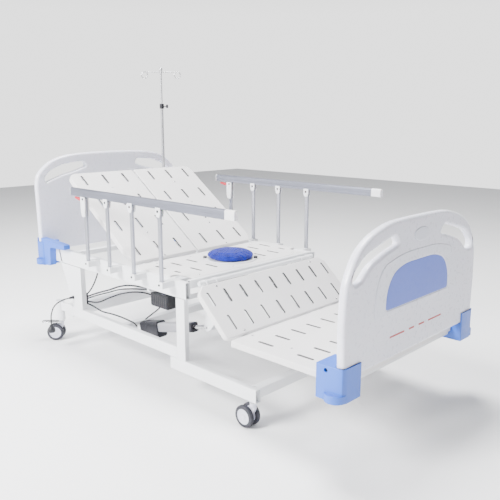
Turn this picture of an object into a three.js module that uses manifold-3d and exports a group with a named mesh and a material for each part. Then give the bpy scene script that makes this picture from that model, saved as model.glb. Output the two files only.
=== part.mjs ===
// Adjustable hospital bed: a powered nursing bed with a raised, split back section, a commode
// opening in the seat, a leg section that lowers with its level foot section and footboard,
// collapsible side rails, four twin-wheel casters and a telescopic infusion pole.
//
// Millimetres. +X runs to the foot end, +Y to the patient's left, +Z up. The origin is on the
// floor under the middle of the bed. "right" parts are on the -Y side, "left" parts on +Y.

import * as THREE from 'three';
import { mergeVertices } from 'three/addons/utils/BufferGeometryUtils.js';
import Module from 'manifold-3d';

const wasm = await Module();
wasm.setup();

// ---------------------------------------------------------------- driving dimensions

const GAP = 0.3;                      // between two pieces that rest on each other
const SIDES = [['right', -1], ['left', 1]];

const DECK_TOP = 559;                 // top of the level deck
const DECK_HALF = 430;                // half width of the seat
const SHEET = 3;                      // deck sheet thickness
const SKIRT = 25;                     // folded edge of the moving deck panels
const SURFACE_RISE = 18;              // deck surface above the hinge lines
const SLOT_WIDTH = 15;

const BACK_ANGLE = 35;                // degrees, as modelled
const THIGH_ANGLE = 43;
const BACK_HINGE = { x: -237, z: DECK_TOP - SURFACE_RISE };
const THIGH_HINGE = { x: 216, z: DECK_TOP - SURFACE_RISE };
const BACK_LENGTH = 715;              // hinge line to the top edge
const THIGH_LENGTH = 307;             // hinge line to knee hinge line
const BAR_TOP = -7.5;                 // section frames lie under the folded edges
const BAR_BOTTOM = -27;
const SHAFT_RADIUS = 11;
const LINK_DROP = 80;                 // level links hang this far under the section hinges
const LINK_Y = 270;
const BAR_Y = 333;                    // leg section's long bars, lift arm and actuator

const RAIL_OUTER = 456;               // outer face of the fixed side members
const RAIL_INNER = 428;
const SIDE_BOTTOM = 472;
const SIDE_TOP = 551;
const SIDE_FOOT_END = 190;
const SIDE_HEAD_END = -998;
const CROSSBAR = { x0: 170, x1: 193, z0: 519, z1: 558.5 };

const BASE_FOOT = { x0: 70, x1: 617, z0: 120, z1: 180 };
const BASE_HEAD = { x0: -787, z0: 180.3, z1: 236 };
const FOOT_POST = { x0: 117, x1: 177 };
const HEAD_LEG = { x0: -735, x1: -683 };
const HEAD_BAR = { x0: -865, x1: -785, z0: 170, z1: 240 };

const WHEEL_RADIUS = 48;
const CASTER_TRAIL = 32;
const CASTERS = [
  { name: 'head_right', x: -950, y: -440, turn: 44, pedal: true },
  { name: 'head_left', x: -950, y: 440, turn: 0, pedal: true },
  { name: 'foot_right', x: 588, y: -440, turn: 0, pedal: false },
  { name: 'foot_left', x: 588, y: 440, turn: 0, pedal: false },
];

const POST_X = [-510, -317, -118, 89];
const POST_PIVOT_LOW = 535;
const POST_PIVOT_HIGH = 865;
const POST_Y = 508;
const HANDRAIL = { x0: -634, x1: 562, z0: 876, z1: 916, half: 11 };

const HEADBOARD = { x0: -1062, x1: -1026, bottom: 515 };
const FOOTBOARD = { x0: 1032, x1: 1068, bottom: 365 };

const POLE = { x: -985, y: 365, top: 1340, rodTop: 1528, hook: 1541 };
const LEG_ACTUATOR = { x: -310, z: 200, eye: { x: 208, z: 322 } };
const BACK_ACTUATOR = { x: 200, z: 391, y: 220, reach: 437 };

// ---------------------------------------------------------------- materials

const finish = (color, roughness, metalness = 0) =>
  new THREE.MeshStandardMaterial({ color, roughness, metalness });
const PAINT = finish(0xeceef0, 0.4);
const DECK_PAINT = finish(0xe4e2e2, 0.5);
const SHELL = finish(0xe9e8f2, 0.3);
const BLUE_SHELL = finish(0x6f9fe6, 0.35);
const BLUE_PANEL = finish(0x8fa3e0, 0.4);
const CUSHION = finish(0x0a34b4, 0.6);
const ALUMINIUM = finish(0xa9adb8, 0.35, 0.9);
const STEEL = finish(0xb9bcc0, 0.25, 1);
const WHITE_PLASTIC = finish(0xf2f2f2, 0.45);
const GREY_PLASTIC = finish(0x9b9ba2, 0.5);
const BLACK_PLASTIC = finish(0x1b1b22, 0.5);
const TYRE = finish(0x55565c, 0.7);
const RED = finish(0xc2303f, 0.4);

// ---------------------------------------------------------------- geometry helpers

// Keeps positions only, with shared vertices merged and collapsed triangles left out.
function bare(geometry) {
  const plain = geometry.clone();
  for (const name of Object.keys(plain.attributes)) {
    if (name !== 'position') plain.deleteAttribute(name);
  }
  const merged = mergeVertices(plain, 1e-4);
  const index = [];
  const from = merged.index.array;
  for (let i = 0; i < from.length; i += 3) {
    const [a, b, c] = [from[i], from[i + 1], from[i + 2]];
    if (a !== b && b !== c && c !== a) index.push(a, b, c);
  }
  merged.setIndex(index);
  return merged;
}

function toSolid(geometry) {
  const merged = bare(geometry);
  return new wasm.Manifold(new wasm.Mesh({
    numProp: 3,
    vertProperties: new Float32Array(merged.attributes.position.array),
    triVerts: new Uint32Array(merged.index.array),
  }));
}

function toGeometry(solid) {
  const mesh = solid.getMesh();
  const geometry = new THREE.BufferGeometry();
  geometry.setAttribute('position', new THREE.BufferAttribute(new Float32Array(mesh.vertProperties), 3));
  geometry.setIndex(new THREE.BufferAttribute(new Uint32Array(mesh.triVerts), 1));
  return geometry;
}

const join = (...pieces) => toGeometry(pieces.map(toSolid).reduce((all, next) => all.add(next)));
const cut = (piece, ...cutters) =>
  toGeometry(cutters.map(toSolid).reduce((rest, next) => rest.subtract(next), toSolid(piece)));
function box(x0, x1, y0, y1, z0, z1) {
  return new THREE.BoxGeometry(x1 - x0, y1 - y0, z1 - z0)
    .translate((x0 + x1) / 2, (y0 + y1) / 2, (z0 + z1) / 2);
}

// Cylinders by the axis they lie along.
function rod(axis, radius, from, to, centre, sides = 12) {
  const geometry = new THREE.CylinderGeometry(radius, radius, to - from, sides);
  if (axis === 'z') geometry.rotateX(Math.PI / 2);
  if (axis === 'x') geometry.rotateZ(Math.PI / 2);
  const middle = (from + to) / 2;
  const [a, b] = centre;
  if (axis === 'x') return geometry.translate(middle, a, b);
  if (axis === 'y') return geometry.translate(a, middle, b);
  return geometry.translate(a, b, middle);
}

const extrude = (shape, depth, curveSegments = 2) =>
  new THREE.ExtrudeGeometry(shape, { depth, bevelEnabled: false, curveSegments });
// An outline in plan, raised from z0 to z1.
const plan = (shape, z0, z1, segments) => extrude(shape, z1 - z0, segments).translate(0, 0, z0);
// An outline seen from the side, its points (x, z), between y0 and y1.
const side = (shape, y0, y1, segments) =>
  extrude(shape, y1 - y0, segments).rotateX(Math.PI / 2).translate(0, y1, 0);
// An outline seen from an end, its points (y, z), between x0 and x1.
const end = (shape, x0, x1, segments) =>
  extrude(shape, x1 - x0, segments).rotateX(Math.PI / 2).rotateZ(Math.PI / 2).translate(x0, 0, 0);

// Lowest and highest Y of a piece that spans inner..outer from the middle on one side.
const across = (sign, inner, outer) => (sign > 0 ? [inner, outer] : [-outer, -inner]);

// A closed outline whose corners are eased by the radius given with each point, or by nearly
// half of the shorter side there.
function outline(points, Kind = THREE.Shape) {
  const path = new Kind();
  const count = points.length;
  points.forEach(([x, y, radius = 0], i) => {
    const before = points[(i + count - 1) % count];
    const after = points[(i + 1) % count];
    const lengths = [before, after].map(([a, b]) => Math.hypot(a - x, b - y));
    const eased = Math.min(radius, 0.49 * Math.min(...lengths));
    const toward = (other) => {
      const part = eased / Math.hypot(other[0] - x, other[1] - y);
      return [x + (other[0] - x) * part, y + (other[1] - y) * part];
    };
    const start = toward(before);
    if (i === 0) path.moveTo(...start);
    else path.lineTo(...start);
    if (radius > 0) path.quadraticCurveTo(x, y, ...toward(after));
  });
  path.closePath();
  return path;
}

const rectangle = (a0, a1, b0, b1, radius = 0, Kind = THREE.Shape) =>
  outline([[a0, b0, radius], [a1, b0, radius], [a1, b1, radius], [a0, b1, radius]], Kind);

function ring(shape, hole) {
  shape.holes.push(hole);
  return shape;
}

// Hollow rectangular tube sections.
const section = (a0, a1, b0, b1, wall, radius) =>
  ring(rectangle(a0, a1, b0, b1, radius),
    rectangle(a0 + wall, a1 - wall, b0 + wall, b1 - wall, Math.max(radius - wall, 0.5), THREE.Path));
const tubeX = (x0, x1, y0, y1, z0, z1, wall = 3, radius = 5) =>
  end(section(y0, y1, z0, z1, wall, radius), x0, x1, 2);
const tubeY = (x0, x1, y0, y1, z0, z1, wall = 3, radius = 5) =>
  side(section(x0, x1, z0, z1, wall, radius), y0, y1, 2);
const tubeZ = (x0, x1, y0, y1, z0, z1, wall = 3, radius = 5) =>
  plan(section(x0, x1, y0, y1, wall, radius), z0, z1, 2);

// A lengthwise slot with round ends, in plan.
function slotShape(x0, x1, y, width = SLOT_WIDTH) {
  const r = width / 2;
  const shape = new THREE.Shape();
  shape.absarc(x1 - r, y, r, -Math.PI / 2, Math.PI / 2);
  shape.absarc(x0 + r, y, r, Math.PI / 2, Math.PI * 1.5);
  shape.closePath();
  return shape;
}

// Pressed deck panel: a sheet with its edge folded down all round and rows of slots.
function deckPanel(shapeAt, top, skirt, slots, holes = []) {
  const wall = 3;
  const cutters = [plan(shapeAt(wall), top - skirt - 1, top - SHEET)];
  cutters.push(plan(slots, top - SHEET - 2, top + 1));
  return cut(plan(shapeAt(0), top - skirt, top), ...cutters, ...holes);
}

// A cable along hand-placed points.
function cable(points, radius, steps, sides = 6) {
  const knots = points.map((p) => new THREE.Vector3(...p));
  const curve = new THREE.CatmullRomCurve3(knots, false, 'centripetal');
  const circle = new THREE.Shape();
  for (let i = 0; i < sides; i += 1) {
    const angle = (i / sides) * Math.PI * 2;
    const point = [radius * Math.cos(angle), radius * Math.sin(angle)];
    if (i === 0) circle.moveTo(...point);
    else circle.lineTo(...point);
  }
  circle.closePath();
  return new THREE.ExtrudeGeometry(circle, { steps, bevelEnabled: false, extrudePath: curve });
}

const bed = new THREE.Group();
const radians = THREE.MathUtils.degToRad;

function add(name, geometry, material, parent = bed) {
  const mesh = new THREE.Mesh(geometry, material);
  mesh.name = name;
  parent.add(mesh);
}

// A section of the deck, drawn level about its own hinge line and then tilted.
function tilted(hinge, degrees) {
  const section3d = new THREE.Group();
  section3d.position.set(hinge.x, 0, hinge.z);
  section3d.rotation.y = radians(degrees);
  bed.add(section3d);
  return section3d;
}

// ---------------------------------------------------------------- base and legs

function baseFrame() {
  const parts = [];
  for (const [, sign] of SIDES) {
    const [y0, y1] = across(sign, RAIL_INNER, RAIL_OUTER);
    parts.push(tubeX(BASE_FOOT.x0, BASE_FOOT.x1, y0, y1, BASE_FOOT.z0, BASE_FOOT.z1));
    const rail = tubeX(BASE_HEAD.x0, FOOT_POST.x0 + 1, y0, y1, BASE_HEAD.z0 - 0.6, BASE_HEAD.z1);
    parts.push(cut(rail, rod('z', 4, BASE_HEAD.z0 - 2, BASE_HEAD.z0 + 5, [-500, (y0 + y1) / 2], 8)));
    parts.push(footCasterSocket(sign), casterSocket(sign), ...legs(y0, y1));
  }
  parts.push(crossTube(556, 600, 125, 169), crossTube(-375, -335, 186, 226), actuatorMount());
  const headBar = rectangle(HEAD_BAR.x0, HEAD_BAR.x1, HEAD_BAR.z0, HEAD_BAR.z1, 18);
  parts.push(side(headBar, -RAIL_OUTER, RAIL_OUTER));
  const stems = CASTERS.map(({ x, y }) => rod('z', 11.5, BASE_FOOT.z0 - 2, 160, [x, y]));
  return cut(join(...parts), ...stems);
}

// Square tube welded between the side members, with a drain hole underneath.
function crossTube(x0, x1, z0, z1) {
  const reach = RAIL_INNER + 1;
  return cut(tubeY(x0, x1, -reach, reach, z0, z1), rod('z', 4, z0 - 1, z0 + 5, [(x0 + x1) / 2, 0], 8));
}

// Bush inside the base tube's end that takes a foot caster's stem.
function footCasterSocket(sign) {
  const centre = [CASTERS[2].x, sign * Math.abs(CASTERS[2].y)];
  return rod('z', 14.3, BASE_FOOT.z0 + 1, BASE_FOOT.z1 - 1, centre);
}

// Foot post and the wider, tapered head leg, both folded from sheet and open at the top.
function legs(y0, y1) {
  const post = tubeZ(FOOT_POST.x0, FOOT_POST.x1, y0, y1, BASE_FOOT.z1 - 1, SIDE_BOTTOM - GAP);
  const outer = outline([
    [HEAD_LEG.x1, BASE_HEAD.z1 - 1], [HEAD_LEG.x1, SIDE_BOTTOM - GAP],
    [-880, SIDE_BOTTOM - GAP], [-775, BASE_HEAD.z1 - 1],
  ]);
  const hollow = outline([
    [HEAD_LEG.x1 - 4, BASE_HEAD.z1 - 1], [HEAD_LEG.x1 - 4, SIDE_BOTTOM + 1],
    [-872, SIDE_BOTTOM + 1], [-768, BASE_HEAD.z1 - 1],
  ]);
  return [post, cut(side(outer, y0, y1), side(hollow, y0 + 4, y1 - 4))];
}

// Tube stub that takes a head caster's stem, webbed to the head cross bar.
function casterSocket(sign) {
  const { x, y } = CASTERS[0];
  const centre = [x, sign * Math.abs(y)];
  const web = box(x + 10, HEAD_BAR.x0 + 2, centre[1] - 8, centre[1] + 8, 182, 230);
  return join(rod('z', 24, 121, 236, centre), web);
}

// Two ears on the cross tube that hold the leg actuator's rear pin.
function actuatorMount() {
  const y = -BAR_Y;
  const { x, z } = LEG_ACTUATOR;
  const ear = outline([[-337, z - 12], [x + 14, z - 12, 10], [x + 14, z + 12, 10], [-337, z + 12]]);
  const ears = [y - 14, y + 8].map((low) => side(ear, low, low + 6));
  return join(...ears, rod('y', 5, y - 14, y + 14, [x, z], 12));
}

add('base_frame', baseFrame(), PAINT);

// ---------------------------------------------------------------- casters

function casterFork() {
  const neck = join(rod('z', 14, 98, 119.5, [0, 0]), rod('z', 11, 98, 155, [0, 0]));
  const web = outline([
    [16, 99, 6], [-14, 99], [-44, 78, 10], [-50, 48, 10], [-36, 34, 8], [-20, 38, 8], [8, 74, 8],
  ]);
  return cut(join(neck, side(web, -7.5, 7.5)),
    rod('y', 8.5, -10, 10, [-CASTER_TRAIL, WHEEL_RADIUS], 16));
}

// Both wheels on their axle, turned about Y.
function casterWheels() {
  const r = WHEEL_RADIUS;
  const half = [[8, 0], [8, 8.5], [r - 4, 8.5], [r, 12], [r, 26], [r - 4, 30], [0, 30]];
  const mirrored = half.slice(1).reverse().map(([radius, y]) => [radius, -y]);
  const profile = [...mirrored, ...half.slice(1)].map((p) => new THREE.Vector2(...p));
  return new THREE.LatheGeometry(profile, 18).translate(-CASTER_TRAIL, 0, 0).translate(0, 0, r);
}

function brakePedal() {
  const plate = outline([
    [-112, -16, 12], [-112, 16, 12], [-60, 24, 8], [14, 22, 6], [14, -22, 6], [-60, -24, 8],
  ]);
  return cut(plan(plate, 103, 109), rod('z', 16, 95, 115, [0, 0]), box(0, 20, -16, 16, 95, 115));
}

for (const { name, x, y, turn, pedal } of CASTERS) {
  const place = new THREE.Group();
  place.position.set(x, y, 0);
  place.rotation.z = radians(turn);
  bed.add(place);
  add(`caster_fork_${name}`, casterFork(), GREY_PLASTIC, place);
  add(`caster_wheels_${name}`, casterWheels(), TYRE, place);
  if (pedal) add(`brake_pedal_${name}`, brakePedal(), STEEL, place);
}

// ---------------------------------------------------------------- upper frame and seat

function upperFrame() {
  const parts = [];
  for (const [, sign] of SIDES) {
    const [y0, y1] = across(sign, RAIL_INNER, RAIL_OUTER);
    const opening = outline([[-902, 546], [-888, 546], [-866, 478], [-880, 478]]);
    const [s0, s1] = across(sign, RAIL_OUTER - 5, RAIL_OUTER + 5);
    parts.push(cut(tubeX(SIDE_HEAD_END, SIDE_FOOT_END, y0, y1, SIDE_BOTTOM, SIDE_TOP, 4, 6),
      side(opening, s0, s1)));
  }
  parts.push(crossTube(-960, -930, 474, 504), poleSocket());
  parts.push(crossTube(-190, -160, 515, 548), ...hingeEars(BACK_HINGE, -1, -188));
  parts.push(crossTube(CROSSBAR.x0, CROSSBAR.x1, CROSSBAR.z0, CROSSBAR.z1));
  parts.push(...hingeEars(THIGH_HINGE, 1, CROSSBAR.x1 - 2), backActuatorMount());
  const linkPin = { x: THIGH_HINGE.x, z: THIGH_HINGE.z - LINK_DROP };
  parts.push(...linkBrackets(linkPin, [180, CROSSBAR.z0 + 2], [191, CROSSBAR.z0 + 2]));
  for (const x of [-118, 122]) parts.push(bucketRunner(x));
  for (const [, sign] of SIDES) parts.push(...POST_X.map((x) => railBracket(x, sign)));
  return join(...parts);
}

function poleSocket() {
  const centre = [POLE.x, POLE.y];
  return cut(join(rod('z', 13.5, 455, 530, centre), box(POLE.x, -956, POLE.y - 8, POLE.y + 8, 476, 502)),
    rod('z', 10, 460, 531, centre));
}

// Ears that carry a section's cross shaft, pointing to the shaft from a cross tube.
function hingeEars(hinge, direction, root) {
  const reach = SHAFT_RADIUS + 6;
  const shape = outline([
    [root, hinge.z - 20], [root, hinge.z + 6],
    [hinge.x + direction * 4, hinge.z + 15, 8], [hinge.x + direction * reach, hinge.z + 7, 8],
    [hinge.x + direction * reach, hinge.z - 7, 8], [hinge.x + direction * 4, hinge.z - 17, 8],
  ]);
  return [-366, -306, 300, 360].map((y) =>
    cut(side(shape, y, y + 6), rod('y', SHAFT_RADIUS + 0.6, y - 5, y + 11, [hinge.x, hinge.z])));
}

// Plates with pins for the level links; corner points are where a plate meets its cross tube.
function linkBrackets(pin, cornerA, cornerB) {
  const shape = outline([
    cornerA, [pin.x - 12, pin.z + 4, 4], [pin.x - 12, pin.z - 12, 8], [pin.x + 12, pin.z - 12, 8],
    [pin.x + 12, pin.z + 14, 4], cornerB,
  ]);
  return SIDES.flatMap(([, sign]) => {
    const [y0, y1] = across(sign, LINK_Y - 3, LINK_Y + 3);
    const [p0, p1] = across(sign, LINK_Y - 2, LINK_Y + 15);
    return [side(shape, y0, y1), rod('y', 5, p0, p1, [pin.x, pin.z], 12)];
  });
}

function backActuatorMount() {
  const { x, z, y } = BACK_ACTUATOR;
  const top = CROSSBAR.z0 + 2;
  const shape = outline([[172, top], [x - 12, z - 12, 8], [x + 12, z - 12, 8], [191, top]]);
  const plates = [y - 14, y + 8].map((low) => side(shape, low, low + 6));
  return join(...plates, rod('y', 5, y - 14, y + 14, [x, z], 12));
}

// Angle strip that the commode bucket's rim slides on, hung between the side members.
function bucketRunner(x) {
  const reach = RAIL_INNER - 1;
  const [bottom, top] = [446, 449];
  const [s0, s1] = x > 0 ? [x - 14, x + 3] : [x - 3, x + 14];
  const strip = box(s0, s1, -reach, reach, bottom, top);
  const web = box(x - 3, x + 3, -reach, reach, bottom, top + 19);
  const [h0, h1] = x > 0 ? [x - 3, x + 14] : [x - 14, x + 3];
  const hangers = SIDES.flatMap(([, sign]) => [
    box(h0, h1, ...across(sign, RAIL_INNER - 10, reach), bottom, 500),
    box(h0, h1, ...across(sign, reach - 4, RAIL_INNER + 1), SIDE_BOTTOM + 2, 500),
  ]);
  return join(strip, web, ...hangers);
}

const SEAT = { x0: -212, x1: CROSSBAR.x0 - 1 };
const COMMODE = { x: 5, radius: 108 };

// Seat outline, pulled in by inset: its foot corners are cut back round the frame corners.
function seatShape(inset) {
  const { x0, x1 } = SEAT;
  const half = DECK_HALF + 10 - inset;
  const neck = DECK_HALF - 42 - inset;
  const [head, foot, step] = [x0 + inset, x1 - inset, 62 - inset];
  return outline([
    [head, -half + 24, 6], [head + 34, -half, 14], [step, -half, 10], [step, -neck, 26], [foot, -neck, 4],
    [foot, neck, 4], [step, neck, 26], [step, half, 10], [head + 34, half, 14], [head, half - 24, 6],
  ]);
}

function seatPanel() {
  const slots = [];
  for (const y of [172, 272, 368]) {
    for (const [x0, x1] of [[-138, -55], [8, 92]]) {
      if (y > 360 && x0 > 0) slots.push(slotShape(x0, x1 - 40, y), slotShape(x0, x1 - 40, -y));
      else slots.push(slotShape(x0, x1, y), slotShape(x0, x1, -y));
    }
  }
  const opening = rod('z', COMMODE.radius, DECK_TOP - 20, DECK_TOP + 5, [COMMODE.x, 0], 32);
  return deckPanel(seatShape, DECK_TOP, DECK_TOP - SIDE_TOP - GAP, slots, [opening]);
}

add('upper_frame', upperFrame(), PAINT);
add('seat_panel', seatPanel(), DECK_PAINT);

// ---------------------------------------------------------------- commode

const points2 = (list) => list.map(([r, z]) => new THREE.Vector2(r, z));
// Turned about a vertical axis: lathes turn about Y, so the result is stood up.
const turned = (profile, sides, x) =>
  new THREE.LatheGeometry(points2(profile), sides).rotateX(Math.PI / 2).translate(x, 0, 0);

add('commode_bucket', turned([
  [0, 356], [84, 356], [98, 449 + GAP], [110, 449 + GAP], [110, 455], [94, 455], [80, 360], [0, 360],
], 28, COMMODE.x), GREY_PLASTIC);
add('commode_cover', turned([
  [0, 552], [COMMODE.radius - 4, 552], [COMMODE.radius - 4, DECK_TOP + GAP], [132, DECK_TOP + GAP],
  [132, DECK_TOP + 5], [0, DECK_TOP + 5],
], 32, COMMODE.x), WHITE_PLASTIC);
add('commode_cushion', turned([
  [0, DECK_TOP + 5 + GAP], [112, DECK_TOP + 5 + GAP], [122, 574], [122, 590], [112, 600], [0, 603],
], 32, COMMODE.x), CUSHION);

// ---------------------------------------------------------------- back section

const back = tilted(BACK_HINGE, BACK_ANGLE);
// The outer corners at the hinge are cut back, clear of the side members.
const BACK = { near: 20, inner: 7, half: 424, corner: 55, cutBack: 26 };

function backShape(sign) {
  return (inset) => {
    const top = -BACK_LENGTH + inset;
    const low = -BACK.near - inset;
    const [i, o] = [sign * (BACK.inner + inset), sign * (BACK.half - inset)];
    return outline([
      [low, i, 3], [low, o - sign * BACK.cutBack, 10], [low - 2 * BACK.cutBack, o, 14],
      [top, o, BACK.corner - inset], [top, i, 4],
    ]);
  };
}

function backPanel(sign) {
  const slots = [];
  for (let row = 0; row < 4; row += 1) {
    const start = 58 + row * 184;
    for (const y of [93, 224, 355]) slots.push(slotShape(-start - 80, -start, sign * y));
  }
  return deckPanel(backShape(sign), SURFACE_RISE, SKIRT, slots);
}

function backFrame() {
  const parts = [rod('y', SHAFT_RADIUS, -400, 400, [0, 0])];
  for (const y of [-BACK_ACTUATOR.y, BACK_ACTUATOR.y]) {
    parts.push(box(-690, 4, y - 12, y + 12, BAR_BOTTOM, BAR_TOP));
  }
  for (const x of [-110, -400, -690]) parts.push(box(x - 12, x + 12, -390, 390, BAR_BOTTOM, BAR_TOP));
  // Centre spine with the knuckles that both panel halves turn on.
  parts.push(box(-700, -80, -12, 12, BAR_BOTTOM, BAR_TOP));
  for (let x = -680; x < -60; x += 190) parts.push(box(x, x + 30, -4, 4, BAR_TOP - 1, 10));
  parts.push(rod('x', 4, -712, -20, [0, 6], 8));
  return cut(join(...parts, ...backArm()), ...backArmSlots());
}

// Direction of the back section's lever: straight down while the section is at BACK_ANGLE.
const lean = radians(BACK_ANGLE);
const alongArm = (distance, aside) =>
  [distance * Math.sin(lean) + aside * Math.cos(lean), -distance * Math.cos(lean) + aside * Math.sin(lean)];
const BACK_ARM = { tip: 208, slot: [142, 199] };

// Twin lever plates; the actuator's eye works in their slots.
function backArm() {
  const shape = outline([
    [-24, BAR_TOP - 4], [...alongArm(120, -16), 20], [...alongArm(BACK_ARM.tip, -16), 12],
    [...alongArm(BACK_ARM.tip, 16), 12], [...alongArm(120, 16), 20], [14, BAR_TOP - 2],
  ]);
  return [12, -18].map((low) => side(shape, BACK_ACTUATOR.y + low, BACK_ACTUATOR.y + low + 6));
}

function backArmSlots() {
  const [from, to] = BACK_ARM.slot;
  const shape = outline([[...alongArm(from, -6.5), 6], [...alongArm(to, -6.5), 6],
    [...alongArm(to, 6.5), 6], [...alongArm(from, 6.5), 6]]);
  return [side(shape, BACK_ACTUATOR.y - 25, BACK_ACTUATOR.y + 25)];
}

add('back_frame', backFrame(), PAINT, back);
for (const [name, sign] of SIDES) add(`back_panel_${name}`, backPanel(sign), DECK_PAINT, back);

// ---------------------------------------------------------------- leg and foot sections

const PANEL_HALF = 445;
const thigh = tilted(THIGH_HINGE, THIGH_ANGLE);

function thighPanel() {
  const shapeAt = (inset) => {
    const [x0, x1, half] = [22 + inset, THIGH_LENGTH - 12 - inset, PANEL_HALF - inset];
    return outline([
      [x0, -half + 36, 10], [x0 + 34, -half, 14], [x1, -half, 24],
      [x1, half, 24], [x0 + 34, half, 14], [x0, half - 36, 10],
    ]);
  };
  const slots = [];
  for (let i = -4; i <= 4; i += 1) slots.push(slotShape(60, 134, i * 101));
  for (let i = -3.5; i <= 3.5; i += 1) slots.push(slotShape(188, 266, i * 106));
  return deckPanel(shapeAt, SURFACE_RISE, SKIRT, slots);
}

function thighFrame() {
  const parts = [rod('y', SHAFT_RADIUS, -400, 400, [0, 0])];
  for (const y of [-BAR_Y, BAR_Y]) {
    parts.push(box(-4, THIGH_LENGTH - 6, y - 12, y + 12, BAR_BOTTOM, BAR_TOP));
    parts.push(box(THIGH_LENGTH - 7, THIGH_LENGTH, y - 12, y + 12, -14, BAR_TOP));
    parts.push(rod('y', 9, y - 12, y + 12, [THIGH_LENGTH, 0]));
  }
  for (const x of [60, 250]) parts.push(box(x, x + 24, -BAR_Y, BAR_Y, BAR_BOTTOM, BAR_TOP));
  const holes = [-BAR_Y, BAR_Y].map((y) => rod('y', 5.4, y - 20, y + 20, [THIGH_LENGTH, 0], 12));
  return cut(join(...parts, ...liftArm()), ...holes);
}

// Twin plates under the near long bar that take the leg actuator's rod eye.
function liftArm() {
  const turn = radians(THIGH_ANGLE);
  const dx = LEG_ACTUATOR.eye.x - THIGH_HINGE.x;
  const dz = LEG_ACTUATOR.eye.z - THIGH_HINGE.z;
  const tip = [dx * Math.cos(turn) - dz * Math.sin(turn), dx * Math.sin(turn) + dz * Math.cos(turn)];
  const shape = outline([
    [6, BAR_TOP - 2], [150, BAR_TOP - 6], [tip[0] + 22, tip[1] + 10, 10], [tip[0] + 12, tip[1] - 16, 10],
    [tip[0] - 14, tip[1] - 10, 10], [tip[0] - 60, tip[1] + 60, 20],
  ]);
  return [-BAR_Y - 18, -BAR_Y + 11.9].map((low) =>
    cut(side(shape, low, low + 6.1), rod('y', 6, low - 1, low + 8, tip, 12)));
}

add('thigh_panel', thighPanel(), DECK_PAINT, thigh);
add('thigh_frame', thighFrame(), PAINT, thigh);

// The foot section stays level; its own hinge line is the knee.
const knee = new THREE.Vector3(
  THIGH_HINGE.x + THIGH_LENGTH * Math.cos(radians(THIGH_ANGLE)), 0,
  THIGH_HINGE.z - THIGH_LENGTH * Math.sin(radians(THIGH_ANGLE)));
const foot = new THREE.Group();
foot.position.copy(knee);
bed.add(foot);
const FOOT_PANEL = { x0: 16, x1: 1028 - knee.x, notch: 952 - knee.x };

function footPanel() {
  const { x0, x1, notch } = FOOT_PANEL;
  const shapeAt = (inset) => outline([
    [x0 + inset, -PANEL_HALF + inset, 14], [notch - inset, -PANEL_HALF + inset, 6],
    [notch - inset, -384 + inset], [x1 - inset, -384 + inset], [x1 - inset, 384 - inset],
    [notch - inset, 384 - inset], [notch - inset, PANEL_HALF - inset, 6],
    [x0 + inset, PANEL_HALF - inset, 14],
  ]);
  const slots = [];
  for (const start of [108, 318]) {
    for (let i = -3.5; i <= 3.5; i += 1) slots.push(slotShape(start, start + 84, i * 105));
  }
  return deckPanel(shapeAt, SURFACE_RISE, SKIRT, slots);
}

function footFrame() {
  const tail = 1015 - knee.x;
  const parts = [];
  for (const y of [-BAR_Y, BAR_Y]) {
    parts.push(box(18, tail, y - 19, y + 19, BAR_BOTTOM, BAR_TOP));
    for (const low of [y - 19, y + 13]) {
      parts.push(box(0, 24, low, low + 6, -20, -8));
      parts.push(rod('y', 9, low, low + 6, [0, 0], 12));
      parts.push(box(-9, 9, low, low + 6, -20, 0));
    }
    parts.push(rod('y', 5, y - 19, y + 19, [0, 0], 12));
  }
  parts.push(box(22, 46, -BAR_Y, BAR_Y, BAR_BOTTOM, BAR_TOP));
  parts.push(box(tail - 40, tail, -390 + GAP, 390 - GAP, BAR_BOTTOM, BAR_TOP));
  parts.push(...linkBrackets({ x: 0, z: -LINK_DROP }, [24, BAR_BOTTOM + 2], [44, BAR_BOTTOM + 2]));
  return join(...parts);
}

function levelLink(sign) {
  const [y0, y1] = across(sign, LINK_Y + 4, LINK_Y + 12);
  const bar = side(rectangle(-10, THIGH_LENGTH + 10, -10, 10, 9), y0, y1);
  return cut(bar, ...[0, THIGH_LENGTH].map((x) => rod('y', 5.4, y0 - 2, y1 + 2, [x, 0], 12)));
}

add('foot_panel', footPanel(), DECK_PAINT, foot);
add('foot_frame', footFrame(), PAINT, foot);
const links = tilted({ x: THIGH_HINGE.x, z: THIGH_HINGE.z - LINK_DROP }, THIGH_ANGLE);
for (const [name, sign] of SIDES) add(`foot_level_link_${name}`, levelLink(sign), PAINT, links);

// ---------------------------------------------------------------- head and foot boards

// Arched board with two grip openings, seen from its end. The flank runs up one side to the
// middle of the top; the other side mirrors it.
function boardShape({ flank, grip }) {
  const shape = new THREE.Shape();
  const curve = flank.slice(2).map((p) => new THREE.Vector2(...p));
  const mirror = curve.slice(0, -1).reverse().map((p) => new THREE.Vector2(-p.x, p.y));
  const [[footY, footZ], [sideY, sideZ]] = flank;
  shape.moveTo(-footY, footZ);
  shape.lineTo(footY, footZ);
  shape.quadraticCurveTo(sideY, footZ, sideY, sideZ);
  shape.lineTo(curve[0].x, curve[0].y);
  shape.splineThru([...curve.slice(1), ...mirror]);
  shape.lineTo(-sideY, sideZ);
  shape.quadraticCurveTo(-sideY, footZ, -footY, footZ);
  for (const [, sign] of SIDES) {
    shape.holes.push(outline(grip.map(([y, z, r]) => [sign * y, z, r]), THREE.Path));
  }
  return shape;
}

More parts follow.
